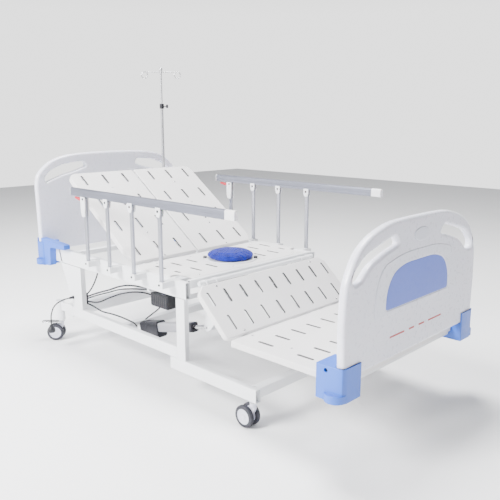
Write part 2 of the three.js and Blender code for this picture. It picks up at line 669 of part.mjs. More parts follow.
const HEAD_SHAPE = {
  flank: [[474, HEADBOARD.bottom], [490, 531], [495, 860], [493, 905], [481, 951], [435, 998],
    [372, 1034], [276, 1056], [140, 1064], [0, 1066]],
  grip: [[436, 906, 12], [442, 932, 16], [400, 972, 30], [320, 1002, 30], [190, 1014, 20], [176, 984, 20],
    [250, 960, 30], [340, 940, 30]],
};
const FOOT_SHAPE = {
  flank: [[474, FOOTBOARD.bottom], [490, 381], [496, 560], [488, 679], [468, 739], [424, 807],
    [357, 854], [272, 882], [183, 896], [0, 899]],
  grip: [[444, 700, 14], [452, 734, 20], [392, 788, 40], [300, 816, 30], [190, 842, 18], [156, 806, 20],
    [244, 787, 30], [340, 756, 30], [400, 706, 20]],
};

add('headboard', end(boardShape(HEAD_SHAPE), HEADBOARD.x0, HEADBOARD.x1, 3), SHELL);
add('footboard', end(boardShape(FOOT_SHAPE), FOOTBOARD.x0, FOOTBOARD.x1, 3), SHELL);
add('footboard_insert', end(outline([
  [-238, 566, 16], [238, 566, 16], [234, 640, 50], [192, 704, 60], [110, 728, 70], [-110, 728, 70],
  [-192, 704, 60], [-234, 640, 50],
]), FOOTBOARD.x1 + GAP, FOOTBOARD.x1 + 3), BLUE_PANEL);

// Slot in a corner block that a board's lower corner stands in.
function boardPocket(board, inner, half, top, sign) {
  const [y0, y1] = across(sign, inner - 5, half + GAP);
  return box(board.x0 - GAP, board.x1 + GAP, y0, y1, board.bottom - GAP, top + 20);
}

const FOOT_BLOCK = { x0: 956, x1: 1075, z0: 283, z1: 413, inner: 390, outer: 505 };
const HEAD_BLOCK = { z0: 443, z1: 575, inner: 392, outer: 496 };

function footBlock(sign) {
  const { x0, x1, z0, z1, inner, outer } = FOOT_BLOCK;
  const shell = plan(outline(sign > 0
    ? [[x0, inner, 4], [x1, inner, 4], [x1, outer, 28], [x0, outer, 6]]
    : [[x0, -outer, 6], [x1, -outer, 28], [x1, -inner, 4], [x0, -inner, 4]]), z0, z1);
  const bumper = rod('z', 42, z0 + 3, z0 + 33, [x1 - 42, sign * 486], 20);
  const bolt = rod('y', 8, ...across(sign, outer - 12, outer + 4), [x0 + 45, z1 - 17], 12);
  return cut(join(shell, bumper), boardPocket(FOOTBOARD, inner, 492, z1, sign), bolt);
}

function headBlock(sign) {
  const { z0, z1, inner, outer } = HEAD_BLOCK;
  const [y0, y1] = across(sign, RAIL_OUTER + GAP, outer - 4);
  const cheek = side(outline([
    [-1068, z0, 8], [-934, z0 + 8, 8], [-930, z1 - 20, 12], [-775, z1 - 14, 6], [-775, z1 + 12, 10],
    [-1068, z1 + 22, 10],
  ]), y0, y1);
  const [c0, c1] = across(sign, inner, outer);
  const corner = plan(rectangle(-1070, SIDE_HEAD_END - GAP, c0, c1, 10), z0, z1);
  const bumper = rod('z', 40, z0 + 4, z0 + 34, [-1033, sign * 480], 20);
  return cut(join(cheek, corner, bumper), boardPocket(HEADBOARD, inner, outer - 1, z1 + 30, sign));
}

for (const [name, sign] of SIDES) {
  add(`foot_corner_block_${name}`, footBlock(sign), BLUE_SHELL);
  add(`head_corner_block_${name}`, headBlock(sign), BLUE_SHELL);
}

// ---------------------------------------------------------------- side rails

// Inverted channel with closed ends, plus the fixed cheeks that the post heads hang in.
function handrail(sign) {
  const { x0, x1, z0, z1, half } = HANDRAIL;
  const y = sign * POST_Y;
  const bar = end(outline([
    [y - half, z0, 3], [y + half, z0, 3], [y + half, z1, 9], [y - half, z1, 9],
  ]), x0, x1, 3);
  const channel = box(x0 + 12, x1 - 30, y - 8, y + 8, z0 - 1, z0 + 22);
  const cheeks = POST_X.slice(1).flatMap((x) => [-half, half - 3].map((low) =>
    side(outline([[x - 11, z0 + 4], [x - 11, z0 - 14, 6], [x + 11, z0 - 14, 6], [x + 11, z0 + 4]]),
      y + low, y + low + 3)));
  return join(cut(bar, channel), ...cheeks);
}

function lockHousing(sign) {
  const y = sign * POST_Y;
  const x = POST_X[0];
  const body = side(outline([
    [x - 24, HANDRAIL.z0 - GAP, 4], [x + 16, HANDRAIL.z0 - GAP, 4], [x + 16, 830, 6], [x + 10, 775, 6],
    [x - 16, 775, 6], [x - 24, 800, 8],
  ]), y - 14, y + 14);
  const slot = box(x - 13, x + 30, y - 8, y + 8, 700, HANDRAIL.z0 + 5);
  return cut(body, slot);
}

function releaseLever(sign) {
  const y = sign * POST_Y;
  const x = POST_X[0] - 27.5;
  return side(outline([
    [x, 852, 4], [x, 868, 4], [x - 26, 870, 6], [x - 62, 872, 4], [x - 64, 862, 4], [x - 30, 854, 6],
  ]), y - 5, y + 5);
}

// A rail post: oval tube between its two pivots.
function railPost(x, sign) {
  const y = sign * POST_Y;
  const tube = plan(outline([
    [x - 11, y - 6.5, 6], [x + 11, y - 6.5, 6], [x + 11, y + 6.5, 6], [x - 11, y + 6.5, 6],
  ]), POST_PIVOT_LOW, POST_PIVOT_HIGH - 1, 3);
  const ends = [POST_PIVOT_LOW, POST_PIVOT_HIGH].map((z) => rod('y', 10.5, y - 6.5, y + 6.5, [x, z], 14));
  return cut(join(tube, ...ends), rod('y', 4.4, y - 10, y + 10, [x, POST_PIVOT_LOW], 8));
}

// Clevis on the side member at the foot of each post, with its pin and stop.
function railBracket(x, sign) {
  const shape = outline([
    [x - 20, 519, 5], [x + 24, 519, 5], [x + 24, SIDE_TOP - 0.5, 5], [x - 20, SIDE_TOP - 0.5, 8],
  ]);
  const [b0, b1] = across(sign, RAIL_OUTER - 1, POST_Y - 8);
  const [e0, e1] = across(sign, POST_Y + 8, POST_Y + 15);
  const [w0, w1] = across(sign, POST_Y - 9, POST_Y + 15);
  const [p0, p1] = across(sign, POST_Y - 10, POST_Y + 12);
  const cheek = outline([[x - 14, 521, 8], [x + 24, 521, 5], [x + 24, 550, 5], [x - 14, 550, 8]]);
  const ear = side(cheek, e0, e1);
  const stop = box(x + 14, x + 24, w0, w1, 521, 549);
  return join(side(shape, b0, b1), ear, stop, rod('y', 4, p0, p1, [x, POST_PIVOT_LOW], 8));
}

for (const [name, sign] of SIDES) {
  add(`handrail_${name}`, handrail(sign), ALUMINIUM);
  add(`rail_lock_housing_${name}`, lockHousing(sign), WHITE_PLASTIC);
  add(`rail_release_lever_${name}`, releaseLever(sign), RED);
  POST_X.forEach((x, i) => add(`rail_post_${name}_${i + 1}`, railPost(x, sign), ALUMINIUM));
}

// ---------------------------------------------------------------- infusion pole

function poleTube() {
  const centre = [POLE.x, POLE.y];
  const collar = rod('z', 14, POLE.top - 22, POLE.top + 8, centre, 16);
  const tube = join(rod('z', 9.5, 461, POLE.top, centre, 14), collar);
  return cut(tube, rod('z', 6.6, 600, POLE.top + 10, centre));
}

// Head of the upper rod: a cross wire whose ends curl down into hook loops, under a ball.
function poleHooks() {
  const loops = [1, -1].map((way) => {
    const points = [[0, 0, 0], [way * 60, 0, 0], [way * 103, 0, 0]];
    const [r, steps] = [19, 7];
    for (let i = 1; i <= steps; i += 1) {
      const angle = (i / steps) * radians(315);
      points.push([way * (103 + r * Math.sin(angle)), 0, -r + r * Math.cos(angle)]);
    }
    return cable(points, 2.8, 18).rotateZ(radians(44)).translate(POLE.x, POLE.y, POLE.hook);
  });
  return join(rod('z', 7, POLE.rodTop + GAP, 1552, [POLE.x, POLE.y], 12), ...loops,
    new THREE.SphereGeometry(11, 12, 8).translate(POLE.x, POLE.y, 1558));
}

function poleKnob() {
  const z = POLE.top - 8;
  const knob = join(rod('x', 3, 14 + GAP, 30, [0, 0], 8), rod('x', 13, 28, 40, [0, 0], 12));
  return knob.rotateZ(radians(44)).translate(POLE.x, POLE.y, z);
}

add('iv_pole_tube', poleTube(), STEEL);
add('iv_pole_rod', rod('z', 6, 800, POLE.rodTop, [POLE.x, POLE.y], 12), STEEL);
add('iv_pole_hooks', poleHooks(), STEEL);
add('iv_pole_knob', poleKnob(), BLACK_PLASTIC);

// ---------------------------------------------------------------- actuators and wiring

// Linear actuator drawn along +X from its rear pin.
function actuatorBody(housingEnd, tubeEnd, boreStart) {
  const tab = cut(join(rod('y', 12, -7, 7, [0, 0], 14), box(0, 24, -7, 7, -12, 12)),
    rod('y', 5.6, -10, 10, [0, 0], 12));
  const housing = end(rectangle(-30, 30, -50, 32, 12), 20, housingEnd, 3);
  const tube = end(rectangle(-23, 23, -23, 23, 10), housingEnd - 5, tubeEnd, 3);
  return cut(join(tab, housing, tube), rod('x', 10.6, boreStart, tubeEnd + 5, [0, 0], 14));
}

function actuatorRod(from, reach) {
  const eye = join(rod('y', 14, -10, 10, [reach, 0], 14), rod('x', 10, from, reach, [0, 0], 14));
  return cut(eye, rod('y', 5.6, -12, 12, [reach, 0], 12));
}

const legActuator = new THREE.Group();
legActuator.position.set(LEG_ACTUATOR.x, -BAR_Y, LEG_ACTUATOR.z);
const legReach = [LEG_ACTUATOR.eye.x - LEG_ACTUATOR.x, LEG_ACTUATOR.eye.z - LEG_ACTUATOR.z];
legActuator.rotation.y = -Math.atan2(legReach[1], legReach[0]);
bed.add(legActuator);
add('leg_actuator', actuatorBody(165, 425, 195), BLACK_PLASTIC, legActuator);
add('leg_actuator_rod', actuatorRod(200, Math.hypot(...legReach)), STEEL, legActuator);

const backActuator = new THREE.Group();
backActuator.position.set(BACK_ACTUATOR.x, BACK_ACTUATOR.y, BACK_ACTUATOR.z);
backActuator.rotation.z = Math.PI;
bed.add(backActuator);
add('back_actuator', actuatorBody(135, 300, 60), BLACK_PLASTIC, backActuator);
add('back_actuator_rod', actuatorRod(165, BACK_ACTUATOR.reach), STEEL, backActuator);

function controlBox() {
  const body = side(rectangle(-276, -132, 318, 392, 10), -300, -222);
  const hanger = box(-186, -164, -272, -250, 390, 515 - GAP);
  return join(body, hanger);
}
add('control_box', controlBox(), BLACK_PLASTIC);

// Leads clipped inside the frame: head leg to control box, and on to the motors.
const LEADS = [
  { radius: 4.5, steps: 12, points: [[-700, -421, 300], [-600, -415, 340], [-480, -409, 382],
    [-390, -402, 416], [-330, -385, 428], [-285, -335, 418], [-268, -285, 408], [-262, -262, 398]] },
  { radius: 4, steps: 12, points: [[-700, -421, 289], [-600, -414, 328], [-500, -405, 362],
    [-400, -398, 396], [-330, -372, 408], [-290, -325, 404], [-250, -284, 407], [-240, -262, 398]] },
  { radius: 4, steps: 11, points: [[-700, -421, 278], [-590, -416, 292], [-490, -400, 336],
    [-400, -380, 372], [-330, -340, 384], [-300, -300, 374], [-284, -275, 360]] },
  { radius: 4, steps: 7, points: [[-700, -420, 308], [-640, -419, 362], [-590, -420, 425],
    [-566, -421, 466]] },
  { radius: 4, steps: 12, points: [[-700, -420, 266], [-640, -418, 262], [-560, -414, 248],
    [-470, -407, 250], [-400, -397, 246], [-345, -385, 236], [-318, -376, 226], [-302, -373, 214]] },
];
// Clip on the head leg's inner face that every lead starts in.
const leadClip = box(-716, -694, -427, -410, 258, 322);
const runs = LEADS.map(({ points, radius, steps }) => cable(points, radius, steps));
add('frame_leads', join(leadClip, ...runs), BLACK_PLASTIC);

const MOTOR_LEAD = [[-240, -262, 313], [-252, -270, 296], [-270, -300, 270], [-284, -333, 246]];
add('motor_lead', cable(MOTOR_LEAD, 3.5, 8), BLACK_PLASTIC);

// Mains lead: straight out of its gland on the right head leg, over in a stiff arc, and down to
// the plug that hangs beside the caster.
const MAINS = { x: -770, z: 292, radius: 3.5, gland: 25.5 };
const PLUG = [-852, -556];
const MAINS_ROUTE = [
  [MAINS.x, -482.3, MAINS.z], [-770, -491, 292], [-772, -501, 291], [-778, -512, 288], [-787, -523, 282],
  [-798, -533, 273], [-810, -541, 262], [-821, -547, 249], [-831, -551, 234], [-839, -553, 218],
  [-845, -555, 201], [-849, -556, 184], [-851, -556, 168], [-852, -556, 153], [-852, -556, 138.3],
];
const gland = new THREE.CylinderGeometry(9, 5.5, MAINS.gland, 12);
gland.translate(MAINS.x, -RAIL_OUTER - 0.5 - MAINS.gland / 2, MAINS.z);
add('mains_gland', gland, BLACK_PLASTIC);
add('mains_lead', cable(MAINS_ROUTE, MAINS.radius, 22, 8), BLACK_PLASTIC);
add('mains_plug', join(rod('z', 13, 118, 138, PLUG), rod('z', 20, 94, 120, PLUG, 16)), BLACK_PLASTIC);

export default bed;
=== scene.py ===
"""Looks of the adjustable hospital bed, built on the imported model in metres, +X to the foot end."""

import math

import bmesh
import bpy
from mathutils import Matrix, Vector
from mathutils.bvhtree import BVHTree


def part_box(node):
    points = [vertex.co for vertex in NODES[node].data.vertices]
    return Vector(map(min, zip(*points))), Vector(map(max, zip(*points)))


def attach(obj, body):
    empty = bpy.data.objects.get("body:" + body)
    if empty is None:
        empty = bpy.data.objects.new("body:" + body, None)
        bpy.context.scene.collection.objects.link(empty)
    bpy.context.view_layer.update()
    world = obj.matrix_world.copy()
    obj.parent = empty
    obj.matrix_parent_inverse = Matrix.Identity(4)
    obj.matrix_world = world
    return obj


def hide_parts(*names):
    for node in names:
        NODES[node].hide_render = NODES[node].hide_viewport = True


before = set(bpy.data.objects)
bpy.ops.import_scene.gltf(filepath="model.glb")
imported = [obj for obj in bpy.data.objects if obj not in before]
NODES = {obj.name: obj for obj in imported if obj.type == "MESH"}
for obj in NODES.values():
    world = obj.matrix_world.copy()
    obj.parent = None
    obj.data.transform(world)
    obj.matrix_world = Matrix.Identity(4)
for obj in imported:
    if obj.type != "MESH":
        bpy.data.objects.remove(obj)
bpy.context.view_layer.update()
MM = 0.001
QUARTER = math.pi / 2
SIDES = (("right", -1), ("left", 1))
COMMODE_X = 5


# ---------------------------------------------------------------- camera

CAMERA_AZIMUTH = 44.0
CAMERA_ELEVATION = 12.0
CAMERA_PLACE = (2.24, -2.17, 1.265)


def set_camera():
    turn, rise = math.radians(CAMERA_AZIMUTH), math.radians(CAMERA_ELEVATION)
    back = Vector((math.sin(turn) * math.cos(rise), -math.cos(turn) * math.cos(rise), math.sin(rise)))
    data = bpy.data.cameras.new("camera")
    data.lens = 45
    camera = bpy.data.objects.new("camera", data)
    camera.location = CAMERA_PLACE
    camera.rotation_euler = (-back).to_track_quat("-Z", "Y").to_euler()
    bpy.context.scene.collection.objects.link(camera)
    bpy.context.scene.camera = camera


# ---------------------------------------------------------------- materials

class Nodes:
    """Short names for building a node material."""

    def __init__(self, name):
        self.material = bpy.data.materials.new(name)
        self.material.use_nodes = True
        self.tree = self.material.node_tree
        self.shader = self.tree.nodes["Principled BSDF"]
        self.coordinates = self.add("ShaderNodeTexCoord").outputs["Object"]

    def add(self, kind, **settings):
        node = self.tree.nodes.new(kind)
        for key, value in settings.items():
            if hasattr(node, key):
                setattr(node, key, value)
            else:
                node.inputs[key].default_value = value
        return node

    def link(self, source, target):
        self.tree.links.new(source, target)

    def stretched(self, scale):
        mapping = self.add("ShaderNodeMapping")
        mapping.inputs["Scale"].default_value = scale
        self.link(self.coordinates, mapping.inputs["Vector"])
        return mapping.outputs["Vector"]

    def noise(self, scale, detail=3.0, vector=None):
        node = self.add("ShaderNodeTexNoise", Scale=scale, Detail=detail)
        self.link(vector or self.coordinates, node.inputs["Vector"])
        return node.outputs["Fac"]

    def spread(self, value, low, high):
        """value, mostly between 0.3 and 0.7, spread over low to high."""
        node = self.add("ShaderNodeMapRange")
        for key, number in (("From Min", 0.3), ("From Max", 0.7), ("To Min", low), ("To Max", high)):
            node.inputs[key].default_value = number
        self.link(value, node.inputs["Value"])
        return node.outputs["Result"]

    def tint(self, value, dark, light):
        ramp = self.add("ShaderNodeValToRGB")
        ramp.color_ramp.elements[0].position = 0.3
        ramp.color_ramp.elements[0].color = (*dark, 1)
        ramp.color_ramp.elements[1].position = 0.7
        ramp.color_ramp.elements[1].color = (*light, 1)
        self.link(value, ramp.inputs["Fac"])
        self.link(ramp.outputs["Color"], self.shader.inputs["Base Color"])

    def roughness(self, value, low, high):
        self.link(self.spread(value, low, high), self.shader.inputs["Roughness"])

    def bump(self, value, height, edge=0.0):
        bump = self.add("ShaderNodeBump", Strength=1.0, Distance=height)
        self.link(value, bump.inputs["Height"])
        if edge:
            bevel = self.add("ShaderNodeBevel", samples=4, Radius=edge)
            self.link(bevel.outputs["Normal"], bump.inputs["Normal"])
        self.link(bump.outputs["Normal"], self.shader.inputs["Normal"])

    def set(self, **values):
        for key, value in values.items():
            self.shader.inputs[key.replace("_", " ")].default_value = value


def shade(color, factor):
    return tuple(min(1.0, channel * factor) for channel in color)


def painted(name, color, roughness=0.38, coat=0.15):
    """Powder coat: a faint orange peel, slight colour drift, and soft edges."""
    nodes = Nodes(name)
    nodes.tint(nodes.noise(5, 4), shade(color, 0.955), color)
    nodes.roughness(nodes.noise(40), roughness - 0.07, roughness + 0.08)
    nodes.bump(nodes.noise(900, 2), 0.00006, edge=0.0012)
    nodes.set(Coat_Weight=coat, Coat_Roughness=0.25)
    return nodes.material


def moulded(name, color, roughness=0.35, coat=0.25, grain=0.00004, depth=0.93, edge=0.0015):
    """Moulded plastic: a fine grain, a cloudy tone and soft edges."""
    nodes = Nodes(name)
    nodes.tint(nodes.noise(3.5, 5), shade(color, depth), color)
    nodes.roughness(nodes.noise(60), roughness - 0.06, roughness + 0.08)
    nodes.bump(nodes.noise(1400, 2), grain, edge=edge)
    nodes.set(Coat_Weight=coat, Coat_Roughness=0.2, Subsurface_Weight=0.03)
    return nodes.material


def metal(name, color, roughness, grain, metallic=1.0):
    """Brushed or drawn metal; grain is the stretch of its fine lines along X, Y and Z."""
    nodes = Nodes(name)
    lines = nodes.noise(140, 5, nodes.stretched(grain))
    nodes.tint(lines, shade(color, 0.86), color)
    nodes.roughness(lines, roughness - 0.05, roughness + 0.1)
    nodes.bump(lines, 0.00003, edge=0.0008)
    nodes.set(Metallic=metallic)
    return nodes.material


def rubber(name, color):
    nodes = Nodes(name)
    nodes.tint(nodes.noise(30, 6), shade(color, 0.75), shade(color, 1.2))
    nodes.roughness(nodes.noise(90), 0.62, 0.85)
    nodes.bump(nodes.noise(500, 4), 0.00018, edge=0.001)
    return nodes.material


def woven(name, color):
    """Close plain weave with a soft sheen, crumpled a little."""
    nodes = Nodes(name)
    waves = []
    for direction in ("X", "Y"):
        wave = nodes.add("ShaderNodeTexWave", bands_direction=direction, Scale=210.0, Distortion=0.6)
        nodes.link(nodes.coordinates, wave.inputs["Vector"])
        waves.append(wave.outputs["Fac"])
    weave = nodes.add("ShaderNodeMath", operation="MULTIPLY")
    nodes.link(waves[0], weave.inputs[0])
    nodes.link(waves[1], weave.inputs[1])
    crease = nodes.add("ShaderNodeMath", operation="MULTIPLY_ADD")
    nodes.link(nodes.noise(26, 5), crease.inputs[0])
    crease.inputs[1].default_value = 3.0
    nodes.link(weave.outputs[0], crease.inputs[2])
    nodes.tint(nodes.noise(34, 6), shade(color, 0.55), shade(color, 1.25))
    nodes.roughness(nodes.noise(120), 0.5, 0.72)
    nodes.bump(crease.outputs[0], 0.0009)
    nodes.set(Sheen_Weight=0.06, Sheen_Roughness=0.5, Specular_IOR_Level=0.25)
    return nodes.material


WHITE_FRAME = painted("white_powder_coat", (0.80, 0.81, 0.83))
DECK = painted("deck_powder_coat", (0.76, 0.745, 0.745), roughness=0.45)
# Slot walls: near-black painted shade, standing in for the dark underside seen through the slots.
SLOT_PAINTED_SHADE = painted("slot_painted_shade", (0.10, 0.098, 0.10), roughness=0.6, coat=0)
BOARD = moulded("board_shell", (0.76, 0.765, 0.86), roughness=0.3, coat=0.4, depth=0.97)
EMBLEM = moulded("board_emblem", (0.70, 0.71, 0.80), roughness=0.35)
BLUE = moulded("corner_blue", (0.025, 0.13, 0.62), roughness=0.36)
BLUE_INSERT = moulded("insert_blue", (0.10, 0.17, 0.66), roughness=0.42, coat=0.1)
WHITE = moulded("white_plastic", (0.80, 0.80, 0.82), roughness=0.4)
HUB = moulded("hub_plastic", (0.62, 0.62, 0.72), roughness=0.35)
GREY = moulded("grey_plastic", (0.30, 0.30, 0.33), roughness=0.45)
BLACK = moulded("black_plastic", (0.006, 0.006, 0.012), roughness=0.45, coat=0.03, depth=0.6)
LEAD = moulded("lead_sheath", (0.005, 0.005, 0.01), roughness=0.5, coat=0.0, depth=0.6, edge=0)
RED = moulded("red_plastic", (0.5, 0.008, 0.03), roughness=0.3, coat=0.5)
STRIPE = moulded("red_stripe", (0.42, 0.002, 0.01), roughness=0.45, coat=0, edge=0)
RAIL = metal("rail_aluminium", (0.21, 0.22, 0.27), 0.4, (0.03, 1, 1), metallic=0.75)
POST = metal("post_aluminium", (0.40, 0.41, 0.46), 0.3, (1, 1, 0.03), metallic=0.9)
STEEL = metal("bright_steel", (0.62, 0.62, 0.64), 0.24, (1, 1, 0.04))
TYRE = rubber("tyre_rubber", (0.03, 0.03, 0.04))
CUSHION = woven("cushion_fabric", (0.001, 0.010, 0.30))


# ---------------------------------------------------------------- mesh helpers

# Where the axes of a flat outline and its thickness point.
PLAN = Matrix.Identity(4)
END = Matrix(((0, 0, 1, 0), (1, 0, 0, 0), (0, 1, 0, 0), (0, 0, 0, 1)))
SIDE = Matrix(((1, 0, 0, 0), (0, 0, -1, 0), (0, 1, 0, 0), (0, 0, 0, 1)))


def outwards(sign):
    """Turn that points a piece's own axis along +Y or -Y."""
    return Matrix.Rotation(-sign * QUARTER, 4, "X")


def spot_turned(x, y, degrees):
    """Frame of an upright piece that stands at x, y and is turned about its own axis."""
    return Matrix.Translation((x, y, 0)) @ Matrix.Rotation(math.radians(degrees), 4, "Z")


def tilted(x, z, degrees, y=0.0):
    """Frame of a section drawn level about its hinge line and then tilted, in millimetres."""
    return Matrix.Translation((x, y, z)) @ Matrix.Rotation(math.radians(degrees), 4, "Y")


def rounded(points, steps=6):
    """A closed outline whose corners are eased by the radius given with each point."""
    outline = []
    for i, (x, y, radius) in enumerate(points):
        corner = Vector((x, y))
        before = Vector(points[i - 1][:2]) - corner
        after = Vector(points[(i + 1) % len(points)][:2]) - corner
        eased = min(radius, 0.49 * min(before.length, after.length))
        if eased <= 0:
            outline.append(corner)
            continue
        start, end = corner + before.normalized() * eased, corner + after.normalized() * eased
        for step in range(steps + 1):
            t = step / steps
            outline.append(start * (1 - t) ** 2 + corner * 2 * t * (1 - t) + end * t ** 2)
    return outline


def rectangle(a0, a1, b0, b1, radius):
    """Outline of a rectangle from a0 to a1 and b0 to b1, its corners eased by radius."""
    return rounded([(a0, b0, radius), (a1, b0, radius), (a1, b1, radius), (a0, b1, radius)])


def ellipse(x, y, half_width, half_height, count=40):
    turns = [2 * math.pi * k / count for k in range(count)]
    return [Vector((x + half_width * math.cos(turn), y + half_height * math.sin(turn))) for turn in turns]


def ring_outline(x, y, radius, count=40):
    return ellipse(x, y, radius, radius, count)


def slot(x0, x1, y, width=15):
    """Outline of a lengthwise slot with round ends."""
    r = width / 2
    ends = ((x1 - r, -QUARTER), (x0 + r, QUARTER))
    return [Vector((x + r * math.cos(start + math.pi * k / 10), y + r * math.sin(start + math.pi * k / 10)))
            for x, start in ends for k in range(11)]


def mesh_object(name, mesh):
    thing = bpy.data.objects.new(name, mesh)
    bpy.context.scene.collection.objects.link(thing)
    return thing


def applied(thing):
    """thing with its modifiers applied, or a curve turned into a mesh."""
    bpy.context.view_layer.update()
    evaluated = thing.evaluated_get(bpy.context.evaluated_depsgraph_get())
    mesh = bpy.data.meshes.new_from_object(evaluated)
    name = thing.name
    bpy.data.objects.remove(thing)
    return mesh_object(name, mesh)


WELD = 2e-6
SHARP_ANGLE = 32


def smooth_shaded(mesh, angle=SHARP_ANGLE):
    """Shades a mesh smooth, with only the edges that turn by more than angle left sharp."""
    mesh.shade_smooth()
    mesh.set_sharp_from_angle(angle=math.radians(angle))


def finish_mesh(mesh, angle=SHARP_ANGLE):
    """Merges doubles, turns faces outwards and leaves only real edges sharp."""
    shape = bmesh.new()
    shape.from_mesh(mesh)
    bmesh.ops.remove_doubles(shape, verts=shape.verts, dist=WELD)
    bmesh.ops.recalc_face_normals(shape, faces=shape.faces)
    shape.to_mesh(mesh)
    shape.free()
    smooth_shaded(mesh, angle)


def place(thing, matrix):
    """Puts a piece drawn in millimetres in its place, in metres."""
    thing.data.transform(Matrix.Scale(MM, 4) @ matrix)
    finish_mesh(thing.data)
    return thing


def outline_curve(name, loops):
    """A filled flat curve, the first loop its outline and the others its holes."""
    curve = bpy.data.curves.new(name, "CURVE")
    curve.dimensions = "2D"
    curve.fill_mode = "BOTH"
    for loop in loops:
        spline = curve.splines.new("POLY")
        spline.points.add(len(loop) - 1)
        for point, (x, y) in zip(spline.points, loop):
            point.co = (x, y, 0, 1)
        spline.use_cyclic_u = True
    return curve


def plate(name, outline, holes, low, high, matrix, bevel=1.0, rows=3):
    """A flat outline with holes, given thickness and rounded edges that keep its outer size."""
    curve = outline_curve(name, (outline, *holes))
    bevel = min(bevel, (high - low) / 2)
    curve.extrude = (high - low) / 2 - bevel
    curve.bevel_depth = bevel
    curve.bevel_resolution = rows
    curve.offset = -bevel
    thing = applied(mesh_object(name, curve))
    return place(thing, matrix @ Matrix.Translation((0, 0, (low + high) / 2)))


def turned(name, profile, matrix, segments=64):
    """A closed or axis-to-axis profile of (radius, height) turned about the third axis."""
    shape = bmesh.new()
    rings = []
    for radius, height in profile:
        count = 1 if radius < 1e-6 else segments
        rings.append([shape.verts.new((radius * math.cos(2 * math.pi * k / count),
                                       radius * math.sin(2 * math.pi * k / count), height))
                      for k in range(count)])
    closed = profile[0][0] > 1e-6
    pairs = zip(rings, rings[1:] + rings[:1]) if closed else zip(rings, rings[1:])
    for first, second in pairs:
        for k in range(segments):
            corners = [first[k % len(first)], first[(k + 1) % len(first)],
                       second[(k + 1) % len(second)], second[k % len(second)]]
            unique = list(dict.fromkeys(corners))
            if len(unique) > 2:
                shape.faces.new(unique)
    mesh = bpy.data.meshes.new(name)
    shape.to_mesh(mesh)
    shape.free()
    return place(mesh_object(name, mesh), matrix)


def eased_profile(points):
    """An axis-to-axis profile of (radius, height, easing), its two ends with no easing."""
    return rounded(points, 5)


def disc(name, radius, low, high, matrix, ease=1.0, segments=40):
    """A round pin or screw head from low to high."""
    profile = eased_profile([(0, low, 0), (radius, low, ease), (radius, high, ease), (0, high, 0)])
    return turned(name, profile, matrix, segments)


def wire(name, points, radius, closed=False, matrix=PLAN, rows=4):
    """A round rod or cable through points, in millimetres, smoothed."""
    curve = bpy.data.curves.new(name, "CURVE")
    curve.dimensions = "3D"
    curve.bevel_depth = radius
    curve.bevel_resolution = rows
    curve.use_fill_caps = not closed
    curve.resolution_u = 6
    spline = curve.splines.new("BEZIER")
    spline.bezier_points.add(len(points) - 1)
    for knot, point in zip(spline.bezier_points, points):
        knot.co = point
        knot.handle_left_type = knot.handle_right_type = "AUTO"
    spline.use_cyclic_u = closed
    return place(applied(mesh_object(name, curve)), matrix)


def joined(name, pieces):
    """Several pieces as one object."""
    shape = bmesh.new()
    for part in pieces:
        shape.from_mesh(part.data)
        bpy.data.objects.remove(part)
    mesh = bpy.data.meshes.new(name)
    shape.to_mesh(mesh)
    shape.free()
    smooth_shaded(mesh)
    return mesh_object(name, mesh)


def weigh(thing):
    """Shades large flats flat, so that only the eased edges turn the light."""
    modifier = thing.modifiers.new("weigh", "WEIGHTED_NORMAL")
    modifier.keep_sharp = True
    bpy.context.view_layer.update()
    evaluated = thing.evaluated_get(bpy.context.evaluated_depsgraph_get())
    thing.data = bpy.data.meshes.new_from_object(evaluated)
    thing.modifiers.clear()


def dress(thing, body, slot_name, material, *nodes):
    """Gives a piece its material, its body and the CAD nodes that it stands for."""
    weigh(thing)
    if not thing.data.materials:
        thing.data.materials.append(material)
    if nodes:
        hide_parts(*nodes)
    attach(thing, body)
    return thing


def eased_edges(thing, width):
    """thing with its real edges rounded off by width, in metres."""
    edge = thing.modifiers.new("edge", "BEVEL")
    edge.width = width
    edge.segments = 2
    edge.limit_method = "ANGLE"
    edge.angle_limit = math.radians(50)
    return applied(thing)


def refined(node, body, slot_name, material, bevel=0.0):
    """A CAD node's own shape with clean flats, smooth curves and softened edges."""
    mesh = NODES[node].data.copy()
    mesh.materials.clear()
    shape = bmesh.new()
    shape.from_mesh(mesh)
    bmesh.ops.remove_doubles(shape, verts=shape.verts, dist=WELD)
    bmesh.ops.dissolve_limit(shape, angle_limit=math.radians(0.5), verts=shape.verts, edges=shape.edges)
    shape.to_mesh(mesh)
    shape.free()
    thing = mesh_object(f"{node}_fine", mesh)
    if bevel:
        thing = eased_edges(thing, bevel)
    smooth_shaded(thing.data, 35)
    return dress(thing, body, slot_name, material, node)


# ---------------------------------------------------------------- mains lead

LEAD_RADIUS = 3.5


